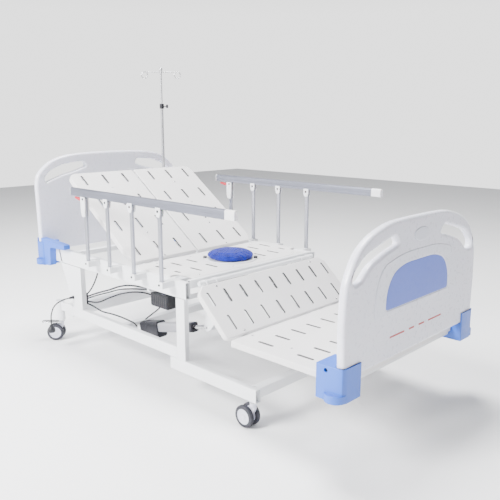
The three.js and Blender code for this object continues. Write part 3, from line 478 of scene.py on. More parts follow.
def mains():
    route = [
        (-770, -482.3, 292), (-770, -491, 292), (-772, -501, 291), (-778, -512, 288), (-787, -523, 282),
        (-798, -533, 273), (-810, -541, 262), (-821, -547, 249), (-831, -551, 234), (-839, -553, 218),
        (-845, -555, 201), (-849, -556, 184), (-851, -556, 168), (-852, -556, 153), (-852, -556, 138.3),
    ]
    lead = wire("mains_lead_sheath", route, LEAD_RADIUS, rows=6)
    plug_place = Matrix.Translation((*route[-1][:2], 0))
    plug = turned("mains_plug_body", eased_profile([
        (0, 94, 0), (17, 94, 2), (20, 99, 3), (20, 116, 6),
        (12, 126, 8), (8, 137.7, 1), (4.5, 138, 0), (0, 138, 0),
    ]), plug_place)
    rings = []
    for k in range(3):
        loop = [(*point, 128 + 3.2 * k) for point in ring_outline(0, 0, 9.6 - 0.6 * k, 16)]
        rings.append(wire(f"plug_ring_{k}", loop, 0.9, closed=True, matrix=plug_place, rows=2))
    grip = joined("mains_plug_rings", rings)
    gland = turned("mains_gland_sleeve", eased_profile([
        (0, 0, 0), (9, 0, 1), (9, 4, 1), (7.4, 5, 1), (5.6, 25.5, 1), (0, 25.5, 0),
    ]), Matrix.Translation((-770, -456.3, 292)) @ Matrix.Rotation(QUARTER, 4, "X"))
    dress(gland, "bed_frame", "black_plastic", BLACK, "mains_gland")
    dress(plug, "bed_frame", "black_plastic", BLACK, "mains_plug")
    dress(grip, "bed_frame", "black_plastic", BLACK)
    dress(lead, "bed_frame", "black_plastic", LEAD, "mains_lead")


# ---------------------------------------------------------------- deck

HINGE_HEIGHT, SURFACE_RISE, SKIRT = 541, 18, 25
DECK_TOP = HINGE_HEIGHT + SURFACE_RISE
BACK_HINGE, BACK_TILT = -237, 35
THIGH_HINGE, THIGH_TILT, THIGH_LENGTH = 216, 43, 307
KNEE = (THIGH_HINGE + THIGH_LENGTH * math.cos(math.radians(THIGH_TILT)),
        HINGE_HEIGHT - THIGH_LENGTH * math.sin(math.radians(THIGH_TILT)))
BACK_PLACE = tilted(BACK_HINGE, HINGE_HEIGHT, BACK_TILT)
THIGH_PLACE = tilted(THIGH_HINGE, HINGE_HEIGHT, THIGH_TILT)
FOOT_PLACE = tilted(*KNEE, 0)
SHEET, SLOT_LIP, SLOT_WALL_THICKNESS = 3.0, 9, 1.2


def pressed_panel(name, outline, holes, top, skirt, matrix, bend=5.0):
    """Pressed deck panel: a slotted sheet whose edge bends down all round, its slot walls painted dark as
    shade.
    """
    outline = anticlockwise(outline)
    inner = inset(outline, bend)
    thing = applied(mesh_object(name, outline_curve(name, (inner, *holes))))
    slots = [anticlockwise(loop) for loop in holes]
    backs = [inset(loop, -SLOT_WALL_THICKNESS) for loop in slots]
    under = applied(mesh_object(f"{name}_under", outline_curve(f"{name}_under", (inner, *backs))))
    shape = bmesh.new()
    for layer, height in ((thing.data, top), (under.data, top - SHEET)):
        layer.transform(Matrix.Translation((0, 0, height)))
        shape.from_mesh(layer)
    bpy.data.objects.remove(under)
    lip, walls = min(skirt, SLOT_LIP), set()
    for front, back in zip(slots, backs):
        rows = ((front, top), (front, top - lip), (back, top - lip), (back, top - SHEET))
        walls.update(bridge(shape, [[(x, y, height) for x, y in loop] for loop, height in rows]))
    rows = []
    for step in range(7):
        turn = QUARTER * step / 6
        rows.append((bend * (1 - math.sin(turn)), top - bend * (1 - math.cos(turn))))
    rows += [(0, top - skirt), (SHEET, top - skirt), (SHEET, top - bend - 0.5), (bend, top - SHEET)]
    bridge(shape, [[(x, y, height) for x, y in inset(outline, depth)] for depth, height in rows])
    # The slot wall faces get the second material: painted shade for the dark underside seen through the
    # slots.
    for face in shape.faces:
        face.material_index = int(face in walls)
    shape.to_mesh(thing.data)
    shape.free()
    thing.data.materials.append(DECK)
    thing.data.materials.append(SLOT_PAINTED_SHADE)
    thing = eased_edges(place(thing, matrix), 0.7 * MM)
    smooth_shaded(thing.data, 40)
    return thing


def anticlockwise(loop):
    area = sum(a[0] * b[1] - b[0] * a[1] for a, b in zip(loop, loop[1:] + loop[:1]))
    return loop[::-1] if area < 0 else loop


def inset(loop, depth):
    """An anticlockwise outline pulled in by depth."""
    result = []
    for i, point in enumerate(loop):
        before = (Vector(point) - Vector(loop[i - 1])).normalized()
        after = (Vector(loop[(i + 1) % len(loop)]) - Vector(point)).normalized()
        normal = Vector((-before.y - after.y, before.x + after.x))
        if normal.length < 1e-9:
            normal = Vector((-after.y, after.x))
        normal.normalize()
        reach = depth / max(0.5, normal.dot(Vector((-after.y, after.x))))
        result.append(Vector(point) + normal * reach)
    return result


def bridge(shape, rings):
    """Walls between successive rings of points; gives back their faces."""
    rows = [[shape.verts.new(point) for point in ring] for ring in rings]
    faces = []
    for first, second in zip(rows, rows[1:]):
        for k in range(len(first)):
            after = (k + 1) % len(first)
            faces.append(shape.faces.new((first[k], first[after], second[after], second[k])))
    return faces


def seat():
    x0, x1, half, neck, step = -212, 169, 440, 388, 62
    outline = rounded([
        (x0, -half + 24, 6), (x0 + 34, -half, 14), (step, -half, 10), (step, -neck, 26), (x1, -neck, 4),
        (x1, neck, 4), (step, neck, 26), (step, half, 10), (x0 + 34, half, 14), (x0, half - 24, 6),
    ])
    holes = [ring_outline(COMMODE_X, 0, 108, 72)]
    for y in (172, 272, 368):
        for start, stop in ((-138, -55), (8, 92)):
            if y > 360 and start > 0:
                stop -= 40
            holes += [slot(start, stop, y), slot(start, stop, -y)]
    panel = pressed_panel("seat_panel_fine", outline, holes, DECK_TOP, 7.7, PLAN, bend=3.0)
    dress(panel, "bed_frame", "deck_sheet", DECK, "seat_panel")


def back_panels():
    low, top, cut = -20, -715, 26
    for name, sign in SIDES:
        inner, outer = sign * 7, sign * 424
        outline = rounded([
            (low, inner, 3), (low, outer - sign * cut, 10), (low - 2 * cut, outer, 14),
            (top, outer, 55), (top, inner, 4),
        ], 9)
        starts = [-58 - 184 * row for row in range(4)]
        holes = [slot(start - 80, start, sign * y) for start in starts for y in (93, 224, 355)]
        panel = pressed_panel(f"back_panel_{name}_fine", outline, holes, SURFACE_RISE, SKIRT, BACK_PLACE)
        dress(panel, f"back_half_{name}", "deck_sheet", DECK, f"back_panel_{name}")


def leg_panels():
    half = 445
    outline = rounded([
        (22, -half + 36, 10), (56, -half, 14), (295, -half, 24),
        (295, half, 24), (56, half, 14), (22, half - 36, 10),
    ])
    holes = [slot(60, 134, i * 101) for i in range(-4, 5)]
    holes += [slot(188, 266, (i + 0.5) * 106) for i in range(-4, 4)]
    thigh = pressed_panel("thigh_panel_fine", outline, holes, SURFACE_RISE, SKIRT, THIGH_PLACE)
    dress(thigh, "leg_section", "deck_sheet", DECK, "thigh_panel")
    end, notch = 1028 - KNEE[0], 952 - KNEE[0]
    outline = rounded([
        (16, -half, 14), (notch, -half, 6), (notch, -384, 2), (end, -384, 2),
        (end, 384, 2), (notch, 384, 2), (notch, half, 6), (16, half, 14),
    ])
    holes = [slot(start, start + 84, (i + 0.5) * 105) for start in (108, 318) for i in range(-4, 4)]
    foot = pressed_panel("foot_panel_fine", outline, holes, SURFACE_RISE, SKIRT, FOOT_PLACE)
    dress(foot, "foot_section", "deck_sheet", DECK, "foot_panel")


def deck_screws():
    """Dome screws that hold each sheet to the bars under it."""
    back_rows = (-32, -205, -390, -575)
    groups = (
        ("seat", "bed_frame", PLAN, DECK_TOP, (-176, 140), (-330, -110, 110, 330)),
        ("back_right", "back_half_right", BACK_PLACE, SURFACE_RISE, back_rows, (-220,)),
        ("back_left", "back_half_left", BACK_PLACE, SURFACE_RISE, back_rows, (220,)),
        ("thigh", "leg_section", THIGH_PLACE, SURFACE_RISE, (40, 280), (-333, 333)),
        ("foot", "foot_section", FOOT_PLACE, SURFACE_RISE, (40, 260, 470), (-333, 333)),
    )
    for name, body, matrix, top, xs, ys in groups:
        screws = []
        for k, spot in enumerate((x, y, 0) for x in xs for y in ys):
            screw_place = matrix @ Matrix.Translation(spot)
            screws.append(disc(f"screw_{name}_{k}", 5, top - 0.5, top + 1.6, screw_place, 1.4, 20))
        dress(joined(f"{name}_screws", screws), body, "bright_steel", STEEL)


# ---------------------------------------------------------------- boards

def smooth_outline(base, flank, steps=8):
    """Board outline: a straight foot, then a smooth run up one flank and down the other."""
    points = [Vector(p) for p in flank] + [Vector((-p[0], p[1])) for p in reversed(flank[:-1])]
    result = []
    for i in range(len(points) - 1):
        p0, p1 = points[max(i - 1, 0)], points[i]
        p2, p3 = points[i + 1], points[min(i + 2, len(points) - 1)]
        for step in range(steps):
            t = step / steps
            result.append(0.5 * (2 * p1 + (p2 - p0) * t + (2 * p0 - 5 * p1 + 4 * p2 - p3) * t ** 2
                                 + (3 * p1 - p0 - 3 * p2 + p3) * t ** 3))
    result.append(points[-1])
    half, bottom = base
    side = bottom + 60
    foot = rounded([(-half, bottom, 16), (half, bottom, 16), (half, side, 0), (-half, side, 0)])
    left_corner, right_corner = foot[:7], foot[7:14]
    return right_corner + result + left_corner


def grip_holes(points):
    """The hand hole of one side and its mirror image."""
    return [rounded([(sign * y, z, r) for y, z, r in points], 8) for sign in (1, -1)]


HEAD = {
    "x": (-1062, -1026), "base": (490, 515),
    "flank": [(495, 860), (493, 905), (481, 951), (435, 998), (372, 1034), (276, 1056), (140, 1064),
              (0, 1066)],
    "grip": [(436, 906, 12), (442, 932, 16), (400, 972, 30), (320, 1002, 30), (190, 1014, 20),
             (176, 984, 20), (250, 960, 30), (340, 940, 30)],
}
FOOT = {
    "x": (1032, 1068), "base": (490, 365),
    "flank": [(496, 560), (488, 679), (468, 739), (424, 807), (357, 854), (272, 882), (183, 896), (0, 899)],
    "grip": [(444, 700, 14), (452, 734, 20), (392, 788, 40), (300, 816, 30), (190, 842, 18), (156, 806, 20),
             (244, 787, 30), (340, 756, 30), (400, 706, 20)],
}


def board(name, shape, node, body):
    """Blow-moulded board with well rounded edges and two hand holes."""
    outline = smooth_outline(shape["base"], shape["flank"])
    x0, x1 = shape["x"]
    shell = plate(name, outline, grip_holes(shape["grip"]), x0, x1, END, bevel=13, rows=6)
    dress(shell, body, "board_shell", BOARD, node)


def footboard_details():
    x = FOOT["x"][1]
    bezel_outline = rounded([
        (-314, 545, 24), (314, 545, 24), (311, 650, 60), (270, 738, 80), (130, 770, 90),
        (-130, 770, 90), (-270, 738, 80), (-311, 650, 60),
    ], 10)
    panel = rounded([
        (-238, 566, 16), (238, 566, 16), (234, 640, 50), (192, 704, 60), (110, 728, 70),
        (-110, 728, 70), (-192, 704, 60), (-234, 640, 50),
    ], 10)
    window = inset(anticlockwise(panel), -3)
    bezel = plate("footboard_bezel", bezel_outline, [window], x - 6, x + 2.4, END, bevel=2.2)
    dress(bezel, "foot_section", "board_shell", BOARD)
    insert = plate("footboard_insert_fine", panel, [], x - 4, x + 1.2, END, bevel=1.0)
    dress(insert, "foot_section", "blue_insert", BLUE_INSERT, "footboard_insert")
    badge = plate("footboard_emblem", ellipse(0, 826, 57, 27, 48), [], x - 6, x + 2.6, END, bevel=2.4)
    dress(badge, "foot_section", "board_shell", EMBLEM)
    stripes = [plate(f"stripe_{k}", rectangle(y0, y1, 450, 457, 1), [], x - 2, x + 0.5, END, bevel=0.3)
               for k, (y0, y1) in enumerate(((-200, -95), (-60, -20), (15, 60), (92, 200)))]
    dress(joined("footboard_stripe", stripes), "foot_section", "blue_insert", STRIPE)


def corner_blocks():
    for name, sign in SIDES:
        refined(f"foot_corner_block_{name}", "foot_section", "blue_plastic", BLUE, bevel=0.003)
        refined(f"head_corner_block_{name}", "bed_frame", "blue_plastic", BLUE, bevel=0.003)
        bolt_place = Matrix.Translation((1001, sign * 494, 396)) @ outwards(sign)
        bolt = disc(f"foot_block_bolt_{name}", 6.5, 0, 3, bolt_place)
        dress(bolt, "foot_section", "black_plastic", BLACK)


# ---------------------------------------------------------------- cushion

def cushion():
    """Round cushion, blown up as cloth from a slightly smaller pad, with a welt round its middle."""
    low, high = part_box("commode_cushion")
    centre = (low + high) / 2
    radius, half = (high.x - low.x) / 2 / MM, (high.z - low.z) / 2 / MM
    pad = turned("commode_cushion_pad", eased_profile([
        (0, -half, 0), (radius - 16, -half, 8), (radius - 4, -half + 9, 8), (radius - 4, half - 16, 8),
        (radius - 18, half - 6, 14), (0, half - 3, 0),
    ]), Matrix.Translation(centre / MM))
    remesh = pad.modifiers.new("remesh", "REMESH")
    remesh.mode = "VOXEL"
    remesh.voxel_size = 0.0045
    pad = applied(pad)
    pad = blown(pad, low.z + 0.0005, 0.007)
    smooth = pad.modifiers.new("smooth", "SUBSURF")
    smooth.levels = 1
    pad = applied(pad)
    for vertex in pad.data.vertices:
        vertex.co.z = max(vertex.co.z, low.z + 0.0002)
    finish_mesh(pad.data, 60)
    welt_path = girth(pad, centre + Vector((0, 0, 0.001)))
    dress(pad, "commode_lid", "cushion_fabric", CUSHION, "commode_cushion")
    tab_place = spot_turned(centre.x / MM, centre.y / MM, CAMERA_AZIMUTH)
    tabs = []
    for way in (-1, 1):
        outline = rectangle(way * 129 - 10, way * 129 + 10, -14, 14, 4)
        tabs.append(plate(f"cushion_tab_{way}", outline, [], 564.3, 571, tab_place, bevel=2.2))
    dress(joined("commode_cushion_tabs", tabs), "commode_lid", "black_plastic", BLACK)
    welt = wire("commode_cushion_welt", welt_path, 1.8, closed=True)
    dress(welt, "commode_lid", "cushion_fabric", CUSHION)


def girth(thing, middle):
    """The line round a piece level with middle, just under its surface, in millimetres."""
    mesh = thing.data
    tree = BVHTree.FromPolygons([v.co for v in mesh.vertices], [p.vertices for p in mesh.polygons])
    path = []
    for x, y in ring_outline(0, 0, 1, 72):
        ray = Vector((x, y, 0))
        hit = tree.ray_cast(middle + ray * 0.3, -ray)[0]
        path.append(tuple((hit - ray * 0.0006) / MM))
    return path


def blown(pad, floor, cap):
    """The pad swollen by a cloth simulation, no point moving further than cap or under floor."""
    start = [vertex.co.copy() for vertex in pad.data.vertices]
    cloth = pad.modifiers.new("cloth", "CLOTH")
    cloth.settings.quality = 5
    cloth.settings.use_pressure = True
    cloth.settings.uniform_pressure_force = 4
    cloth.settings.effector_weights.gravity = 0
    scene = bpy.context.scene
    for step in range(1, 21):
        scene.frame_set(step)
    swollen = applied(pad)
    for vertex, before in zip(swollen.data.vertices, start):
        move = vertex.co - before
        if move.length > cap:
            vertex.co = before + move.normalized() * cap
        vertex.co.z = max(vertex.co.z, floor)
    scene.frame_set(1)
    return swollen


# ---------------------------------------------------------------- frame

def frames():
    for node, body in (
        ("base_frame", "bed_frame"), ("upper_frame", "bed_frame"), ("back_frame", "back_section"),
        ("thigh_frame", "leg_section"), ("foot_frame", "foot_section"),
        ("foot_level_link_right", "level_links"), ("foot_level_link_left", "level_links"),
    ):
        refined(node, body, "white_frame", WHITE_FRAME)


# ---------------------------------------------------------------- side rails

POST_X = (-510, -317, -118, 89)
POST_Y, POST_LOW, POST_HIGH = 508, 535, 865
HANDRAIL_X, CAP_LENGTH = (-634, 562), 56


def handrail(name, sign):
    """Rail of extruded section with an end cap at each end, and cheeks that hold the post tops."""
    y, body = sign * POST_Y, f"handrail_{name}"
    head, foot = HANDRAIL_X
    outline = rounded([
        (y - 11, 876, 3), (y - 11, 890, 0), (y - 10, 891.5, 0), (y - 11, 893, 0), (y - 11, 916, 10),
        (y + 11, 916, 10), (y + 11, 893, 0), (y + 10, 891.5, 0), (y + 11, 890, 0), (y + 11, 876, 3),
        (y + 8, 876, 0.5), (y + 8, 898, 2), (y - 8, 898, 2), (y - 8, 876, 0.5),
    ])
    bar = plate(f"handrail_{name}_bar", outline, [], head + 5, foot - CAP_LENGTH, END, bevel=0.4)
    cap = rounded([(y - 11, 876, 3), (y - 11, 916, 10), (y + 11, 916, 10), (y + 11, 876, 3)])
    spans = ((head, head + 6), (foot - CAP_LENGTH, foot))
    caps = [plate(f"cap_{name}_{k}", cap, [], *span, END, bevel=2.5) for k, span in enumerate(spans)]
    cheeks, screws = [], []
    for k, x in enumerate(POST_X[1:]):
        cheek = rounded([
            (x - 17, 882, 2), (x + 17, 882, 2), (x + 17, 858, 5),
            (x + 11, 838, 8), (x - 11, 838, 8), (x - 17, 858, 5),
        ])
        for low in (-12, 8):
            span = (-(y + low + 4), -(y + low))
            cheeks.append(plate(f"cheek_{name}_{k}_{low}", cheek, [], *span, SIDE, bevel=1.2))
        screws += post_screws(f"top_screw_{name}_{k}", x, y, 11.5, 15)
    dress(bar, body, "rail_aluminium", RAIL, f"handrail_{name}")
    dress(joined(f"handrail_{name}_caps", caps), body, "white_plastic", WHITE)
    dress(joined(f"handrail_{name}_cheeks", cheeks), body, "white_plastic", WHITE)
    dress(joined(f"handrail_{name}_screws", screws), body, "black_plastic", BLACK)


def post_screws(name, x, y, low, high):
    """The two screw heads of a post's top pivot, from low to high off the post's middle."""
    pivot = Matrix.Translation((x, y, POST_HIGH))
    return [disc(f"{name}_{face}", 5.5, low, high, pivot @ outwards(face), 1.4, 24) for face in (-1, 1)]


def rail_posts(name, sign):
    y = sign * POST_Y
    for i, x in enumerate(POST_X, 1):
        body = f"rail_post_{name}_{i}"
        outline = rectangle(x - 11, x + 11, y - 6.5, y + 6.5, 6)
        tube = plate(f"{body}_tube", outline, [], POST_LOW + 4, POST_HIGH - 6, PLAN, bevel=0.5)
        ends = []
        for z in (POST_LOW, POST_HIGH):
            pivot = Matrix.Translation((x, y, z)) @ outwards(-1)
            ends.append(disc(f"{body}_end_{z}", 10.5, -6.5, 6.5, pivot, 1.0, 32))
        dress(tube, body, "rail_aluminium", POST, body)
        dress(joined(f"{body}_ends", ends), body, "rail_aluminium", POST)


def rail_locks(name, sign):
    refined(f"rail_lock_housing_{name}", f"handrail_{name}", "white_plastic", WHITE, bevel=0.0015)
    y, x = sign * POST_Y, POST_X[0]
    screws = joined(f"rail_lock_screws_{name}", post_screws(f"lock_screw_{name}", x, y, 14, 17))
    dress(screws, f"handrail_{name}", "black_plastic", BLACK)
    hinge = x - 27.5
    outline = rounded([
        (hinge, 852, 5), (hinge, 868, 5), (hinge - 26, 870, 8),
        (hinge - 62, 872, 4), (hinge - 64, 862, 4), (hinge - 30, 854, 8),
    ])
    lever = plate(f"release_lever_{name}_blade", outline, [], -(y + 5), -(y - 5), SIDE, bevel=2.2)
    dress(lever, f"release_lever_{name}", "red_plastic", RED, f"rail_release_lever_{name}")


def bracket_screws():
    """The pin heads on the outer cheeks of the brackets that hold the posts' feet."""
    screws = []
    for name, sign in SIDES:
        for k, x in enumerate(POST_X):
            pin = Matrix.Translation((x, sign * (POST_Y + 14.5), POST_LOW)) @ outwards(sign)
            screws.append(disc(f"bracket_pin_{name}_{k}", 5, 0, 3.4, pin, 1.4, 24))
    dress(joined("rail_bracket_screws", screws), "bed_frame", "black_plastic", BLACK)


# ---------------------------------------------------------------- casters

WHEEL_RADIUS, TRAIL = 48, 32
CASTERS = {
    "head_right": (-950, -440, 44),
    "head_left": (-950, 440, 0),
    "foot_right": (588, -440, 0),
    "foot_left": (588, 440, 0),
}


def caster(name, spot):
    """Swivel caster: a neck, a web between twin wheels, their tyres, hubs and axle."""
    body, wheels = f"caster_{name}", f"wheels_{name}"
    neck = turned(f"caster_neck_{name}", eased_profile([
        (0, 96, 0), (14, 96, 2), (14, 119.5, 2), (11, 119.5, 0.5), (11, 155, 1), (0, 155, 0),
    ]), spot, 40)
    web = plate(f"caster_web_{name}", rounded([
        (16, 99, 8), (-14, 99, 6), (-44, 80, 22), (-52, 50, 16), (-38, 32, 10), (-18, 36, 10), (8, 74, 20),
    ], 8), [], -7.5, 7.5, spot @ SIDE, bevel=2.0)
    dress(joined(f"caster_hood_{name}", [neck, web]), body, "caster_plastic", HUB, f"caster_fork_{name}")
    ring = turned(f"caster_ring_{name}", [(14.2, 111), (15.6, 112), (15.6, 117), (14.2, 118)], spot, 40)
    dress(ring, body, "bright_steel", STEEL)
    axle = spot @ Matrix.Translation((-TRAIL, 0, WHEEL_RADIUS)) @ Matrix.Rotation(QUARTER, 4, "X")
    r = WHEEL_RADIUS
    tread = (
        (33, 10), (r - 6, 9.5), (r - 1.5, 11.5), (r, 15), (r, 24), (r - 1.5, 27.5), (r - 6, 29.5), (34, 30),
    )
    face = (
        (0, 8.5, 0), (32, 8.5, 1), (34.5, 11, 1), (34.5, 28.5, 2), (30, 29.2, 2),
        (27, 26.5, 2), (12, 27.5, 2), (10, 29.8, 1.5), (0, 29.8, 0),
    )
    tyres, hubs = [], []
    for way in (-1, 1):
        tyres.append(turned(f"tyre_{name}_{way}", [(a, way * h) for a, h in tread], axle, 96))
        profile = eased_profile([(a, way * h, ease) for a, h, ease in face])
        hubs.append(turned(f"hub_{name}_{way}", profile, axle, 72))
    hubs.append(disc(f"axle_{name}", 7.8, -9, 9, axle, 0.5, 32))
    dress(joined(f"caster_tyres_{name}", tyres), wheels, "tyre_rubber", TYRE, f"caster_wheels_{name}")
    dress(joined(f"caster_hubs_{name}", hubs), wheels, "caster_plastic", HUB)


def pedal(name, spot):
    """Brake pedal: a ribbed blade whose fork clips round the caster's neck."""
    outline = rounded([
        (-112, -16, 12), (-112, 16, 12), (-60, 24, 16), (14, 22, 6), (14, 16, 2), (0, 16, 16),
        (-16, 16, 16), (-16, -16, 16), (0, -16, 16), (14, -16, 2), (14, -22, 6), (-60, -24, 16),
    ], 8)
    blade = plate(f"pedal_blade_{name}", outline, [], 103, 109, spot, bevel=1.6)
    ribs = []
    for k in range(4):
        rib = rectangle(-108 + 8 * k, -105 + 8 * k, -12, 12, 1)
        ribs.append(plate(f"pedal_rib_{name}_{k}", rib, [], 108, 110.2, spot, bevel=0.6))
    dress(joined(f"brake_pedal_{name}_fine", [blade, *ribs]), f"pedal_{name}", "bright_steel", STEEL,
          f"brake_pedal_{name}")


# ---------------------------------------------------------------- infusion pole

POLE = {"x": -985, "y": 365, "top": 1340, "hook": 1541}
HOOK_REACH, HOOK_RADIUS, HOOK_SWEEP = 103, 19, 315


def infusion_pole():
    spot = Matrix.Translation((POLE["x"], POLE["y"], 0))
    arms = spot_turned(POLE["x"], POLE["y"], CAMERA_AZIMUTH)
    top = POLE["top"]
    tube = turned("iv_tube_fine", [(6.7, 600), (9.5, 461), (9.5, top), (6.7, top)], spot, 40)
    dress(tube, "bed_frame", "bright_steel", STEEL, "iv_pole_tube")
    collar = turned("iv_collar", [
        (6.8, top - 21), (13, top - 22), (14, top - 20), (14, top + 6), (13, top + 8), (6.8, top + 7),
    ], spot, 40)
    dress(collar, "bed_frame", "black_plastic", BLACK)
    rod = disc("iv_rod_fine", 6, 800, 1552, spot, 1, 32)
    ball = turned("iv_cap", eased_profile([
        (0, 1546, 0), (9, 1548, 3), (11, 1556, 4), (9, 1566, 4), (0, 1569, 0),
    ]), spot, 40)
    hooks = []
    for way in (1, -1):
        points = [(0, 0, 0), (way * 60, 0, 0), (way * HOOK_REACH, 0, 0)]
        for step in range(1, 12):
            turn = math.radians(HOOK_SWEEP) * step / 11
            x, z = HOOK_REACH + HOOK_RADIUS * math.sin(turn), HOOK_RADIUS * (math.cos(turn) - 1)
            points.append((way * x, 0, z))
        at = arms @ Matrix.Translation((0, 0, POLE["hook"]))
        hooks.append(wire(f"iv_hook_{way}", points, 2.8, matrix=at))
    dress(joined("iv_rod_and_hooks", [rod, ball, *hooks]), "iv_rod", "bright_steel", STEEL, "iv_pole_rod",
          "iv_pole_hooks")
    knob_place = arms @ Matrix.Translation((0, 0, top - 8)) @ Matrix.Rotation(QUARTER, 4, "Y")
    stem = disc("iv_knob_stem", 3, 14.4, 30, knob_place, 0.4, 20)
    lobes = []
    for k in range(12):
        reach = 13 if k % 2 else 13 * 0.8
        lobes.append((reach * math.cos(k * math.pi / 6), reach * math.sin(k * math.pi / 6), 2.5))
    head = plate("iv_knob_head", rounded(lobes, 4), [], 28, 40, knob_place, bevel=1.6)
    dress(joined("iv_knob_fine", [stem, head]), "iv_knob", "black_plastic", BLACK, "iv_pole_knob")


# ---------------------------------------------------------------- actuators and wiring

PIN_HOLE = 5.6


def actuator(prefix, body, spot, housing_end, tube_end):
    """Ribbed motor housing with its tail lug, and the outer tube with its collar."""
    across = spot @ END
    housing = plate(f"{prefix}_motor", rectangle(-30, 30, -50, 32, 14), [], 20, housing_end, across, bevel=4)
    lug = rounded([(-12, -12, 11), (24, -12, 2), (24, 12, 2), (-12, 12, 11)])
    tail = plate(f"{prefix}_tail", lug, [ring_outline(0, 0, PIN_HOLE)], -7, 7, spot @ SIDE, bevel=1.2)
    rib = rectangle(-31, 31, -51, 33, 14)
    ribs = [plate(f"{prefix}_rib_{k}", rib, [], 34 + 13 * k, 38 + 13 * k, across, bevel=1) for k in range(4)]
    dress(joined(f"{prefix}_housing", [housing, tail, *ribs]), body, "black_plastic", BLACK, prefix)
    square, bore = rectangle(-23, 23, -23, 23, 12), [ring_outline(0, 0, 10.8)]
    tube = plate(f"{prefix}_tube", square, bore, housing_end - 2, tube_end - 22, across, bevel=1.5)
    dress(tube, body, "grey_plastic", GREY)
    collar = plate(f"{prefix}_collar", square, bore, tube_end - 24, tube_end, across, bevel=2)
    dress(collar, body, "black_plastic", BLACK)


def ram(name, node, body, spot, start, reach):
    """The bright rod that slides out of an actuator's tube, with its eye at reach."""
    rod = disc(f"{name}_rod", 10, start, reach - 8, spot @ Matrix.Rotation(QUARTER, 4, "Y"), 0.8, 40)
    loops = ring_outline(reach, 0, 14), [ring_outline(reach, 0, PIN_HOLE)]
    eye = plate(f"{name}_eye", *loops, -10, 10, spot @ SIDE, bevel=1.5)
    dress(joined(f"{name}_fine", [rod, eye]), body, "bright_steel", STEEL, node)


def actuators():
    run, rise = 518, 122
    leg = tilted(-310, 200, -math.degrees(math.atan2(rise, run)), y=-333)
    actuator("leg_actuator", "leg_motor", leg, 165, 425)
    ram("leg_ram", "leg_actuator_rod", "leg_ram", leg, 200, math.hypot(run, rise))
    back = Matrix.Translation((200, 220, 391)) @ Matrix.Rotation(math.pi, 4, "Z")
    actuator("back_actuator", "bed_frame", back, 135, 300)
    ram("back_ram", "back_actuator_rod", "back_ram", back, 165, 437)


def control_box():
    refined("control_box", "bed_frame", "black_plastic", BLACK, bevel=0.002)
    lid = plate("control_box_lid", rectangle(-270, -138, 324, 386, 8), [], 300, 303, SIDE, bevel=1.2)
    ribs = []
    for k in range(8):
        rib = rectangle(-262 + 16 * k, -256 + 16 * k, 332, 378, 2)
        ribs.append(plate(f"box_rib_{k}", rib, [], 302, 304.4, SIDE, bevel=0.9))
    dress(joined("control_box_cover", [lid, *ribs]), "bed_frame", "black_plastic", BLACK)


# Radius of each lead on the frame, and the points that it runs through.
LEADS = (
    (4.5, ((-700, -421, 300), (-600, -415, 340), (-480, -409, 382), (-390, -402, 416), (-330, -385, 428),
           (-285, -335, 418), (-268, -285, 408), (-262, -262, 398))),
    (4, ((-700, -421, 289), (-600, -414, 328), (-500, -405, 362), (-400, -398, 396), (-330, -372, 408),
         (-290, -325, 404), (-250, -284, 407), (-240, -262, 398))),
    (4, ((-700, -421, 278), (-590, -416, 292), (-490, -400, 336), (-400, -380, 372), (-330, -340, 384),
         (-300, -300, 374), (-284, -275, 360))),
    (4, ((-700, -420, 308), (-640, -419, 362), (-590, -420, 425), (-566, -421, 466))),
    (4, ((-700, -420, 266), (-640, -418, 262), (-560, -414, 248), (-470, -407, 250), (-400, -397, 246),
         (-345, -385, 236), (-318, -376, 226), (-302, -373, 214))),
)


def leads():
    runs = [wire(f"lead_{k}", points, radius) for k, (radius, points) in enumerate(LEADS)]
    clip = plate("lead_clip", rectangle(-716, -694, 258, 322, 5), [], 410, 427, SIDE, bevel=2)
    dress(joined("frame_leads_fine", [*runs, clip]), "bed_frame", "black_plastic", LEAD, "frame_leads")
    route = [(-240, -262, 313), (-252, -270, 296), (-270, -300, 270), (-284, -333, 246)]
    dress(wire("motor_lead_fine", route, LEAD_RADIUS), "bed_frame", "black_plastic", LEAD, "motor_lead")


# ---------------------------------------------------------------- commode

def commode():
    spot = Matrix.Translation((COMMODE_X, 0, 0))
    bucket = turned("commode_bucket_fine", eased_profile([
        (0, 356, 0), (84, 356, 4), (98, 449.3, 1), (110, 449.3, 1.5),
        (110, 455, 1.5), (94, 455, 2), (80, 360, 4), (0, 360, 0),
    ]), spot, 96)
    dress(bucket, "commode_bucket", "grey_plastic", GREY, "commode_bucket")
    cover = turned("commode_cover_fine", eased_profile([
        (0, 552, 0), (104, 552, 1), (104, 559.3, 0.5), (132, 559.3, 0.8), (132, 564, 2), (0, 564, 0),
    ]), spot, 96)
    dress(cover, "commode_lid", "white_plastic", WHITE, "commode_cover")


# ---------------------------------------------------------------- stage

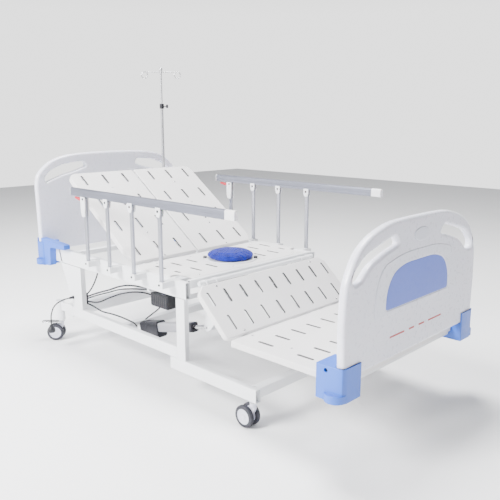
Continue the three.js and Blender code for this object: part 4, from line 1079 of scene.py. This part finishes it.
def stage():
    """White floor, a soft surround and three lamps."""
    floor = mesh_object("floor", bpy.data.meshes.new("floor"))
    shape = bmesh.new()
    bmesh.ops.create_grid(shape, x_segments=1, y_segments=1, size=9)
    shape.to_mesh(floor.data)
    shape.free()
    nodes = Nodes("floor_paper")
    nodes.tint(nodes.noise(1.5, 3), (0.95, 0.95, 0.955), (0.97, 0.97, 0.975))
    nodes.roughness(nodes.noise(30), 0.6, 0.75)
    floor.data.materials.append(nodes.material)
    sky()
    lamps = (
        ("key", (-0.9, -4.6, 3.4), 2.2, 900),
        ("top", (-0.6, 0.6, 5.2), 2.2, 600),
        ("front", (4.8, -1.0, 2.4), 2.6, 30),
    )
    for name, spot, size, power in lamps:
        data = bpy.data.lights.new(name, "AREA")
        data.shape = "DISK"
        data.size = size
        data.energy = power
        lamp = bpy.data.objects.new(name, data)
        lamp.location = spot
        lamp.rotation_euler = (Vector((0, 0, 0.5)) - Vector(spot)).to_track_quat("-Z", "Y").to_euler()
        bpy.context.scene.collection.objects.link(lamp)


def sky():
    """A studio surround: white up to eye height, dimmer overhead and past the foot end."""
    world = bpy.data.worlds.new("studio")
    world.use_nodes = True
    tree = world.node_tree
    direction = tree.nodes.new("ShaderNodeTexCoord").outputs["Generated"]
    axes = tree.nodes.new("ShaderNodeSeparateXYZ")
    ramp = tree.nodes.new("ShaderNodeValToRGB")
    stops = ramp.color_ramp.elements
    stops[0].position, stops[0].color = 0.15, (1, 1, 1, 1)
    stops[1].position, stops[1].color = 0.42, (0.22, 0.225, 0.235, 1)
    dim = tree.nodes.new("ShaderNodeMapRange")
    for key, number in (("From Min", 0.0), ("From Max", 0.8), ("To Min", 2.3), ("To Max", 0.7)):
        dim.inputs[key].default_value = number
    tree.links.new(axes.outputs["X"], dim.inputs["Value"])
    tree.links.new(dim.outputs["Result"], tree.nodes["Background"].inputs["Strength"])
    tree.links.new(direction, axes.inputs["Vector"])
    tree.links.new(axes.outputs["Z"], ramp.inputs["Fac"])
    tree.links.new(ramp.outputs["Color"], tree.nodes["Background"].inputs["Color"])
    bpy.context.scene.world = world


# ---------------------------------------------------------------- the bed

set_camera()
mains()
frames()
seat()
back_panels()
leg_panels()
deck_screws()
board("headboard_fine", HEAD, "headboard", "bed_frame")
board("footboard_fine", FOOT, "footboard", "foot_section")
footboard_details()
corner_blocks()
commode()
cushion()
for side_name, side_sign in SIDES:
    handrail(side_name, side_sign)
    rail_posts(side_name, side_sign)
    rail_locks(side_name, side_sign)
bracket_screws()
for caster_name, caster_place in CASTERS.items():
    caster(caster_name, spot_turned(*caster_place))
    if caster_name.startswith("head"):
        pedal(caster_name, spot_turned(*caster_place))
infusion_pole()
actuators()
control_box()
leads()
stage()
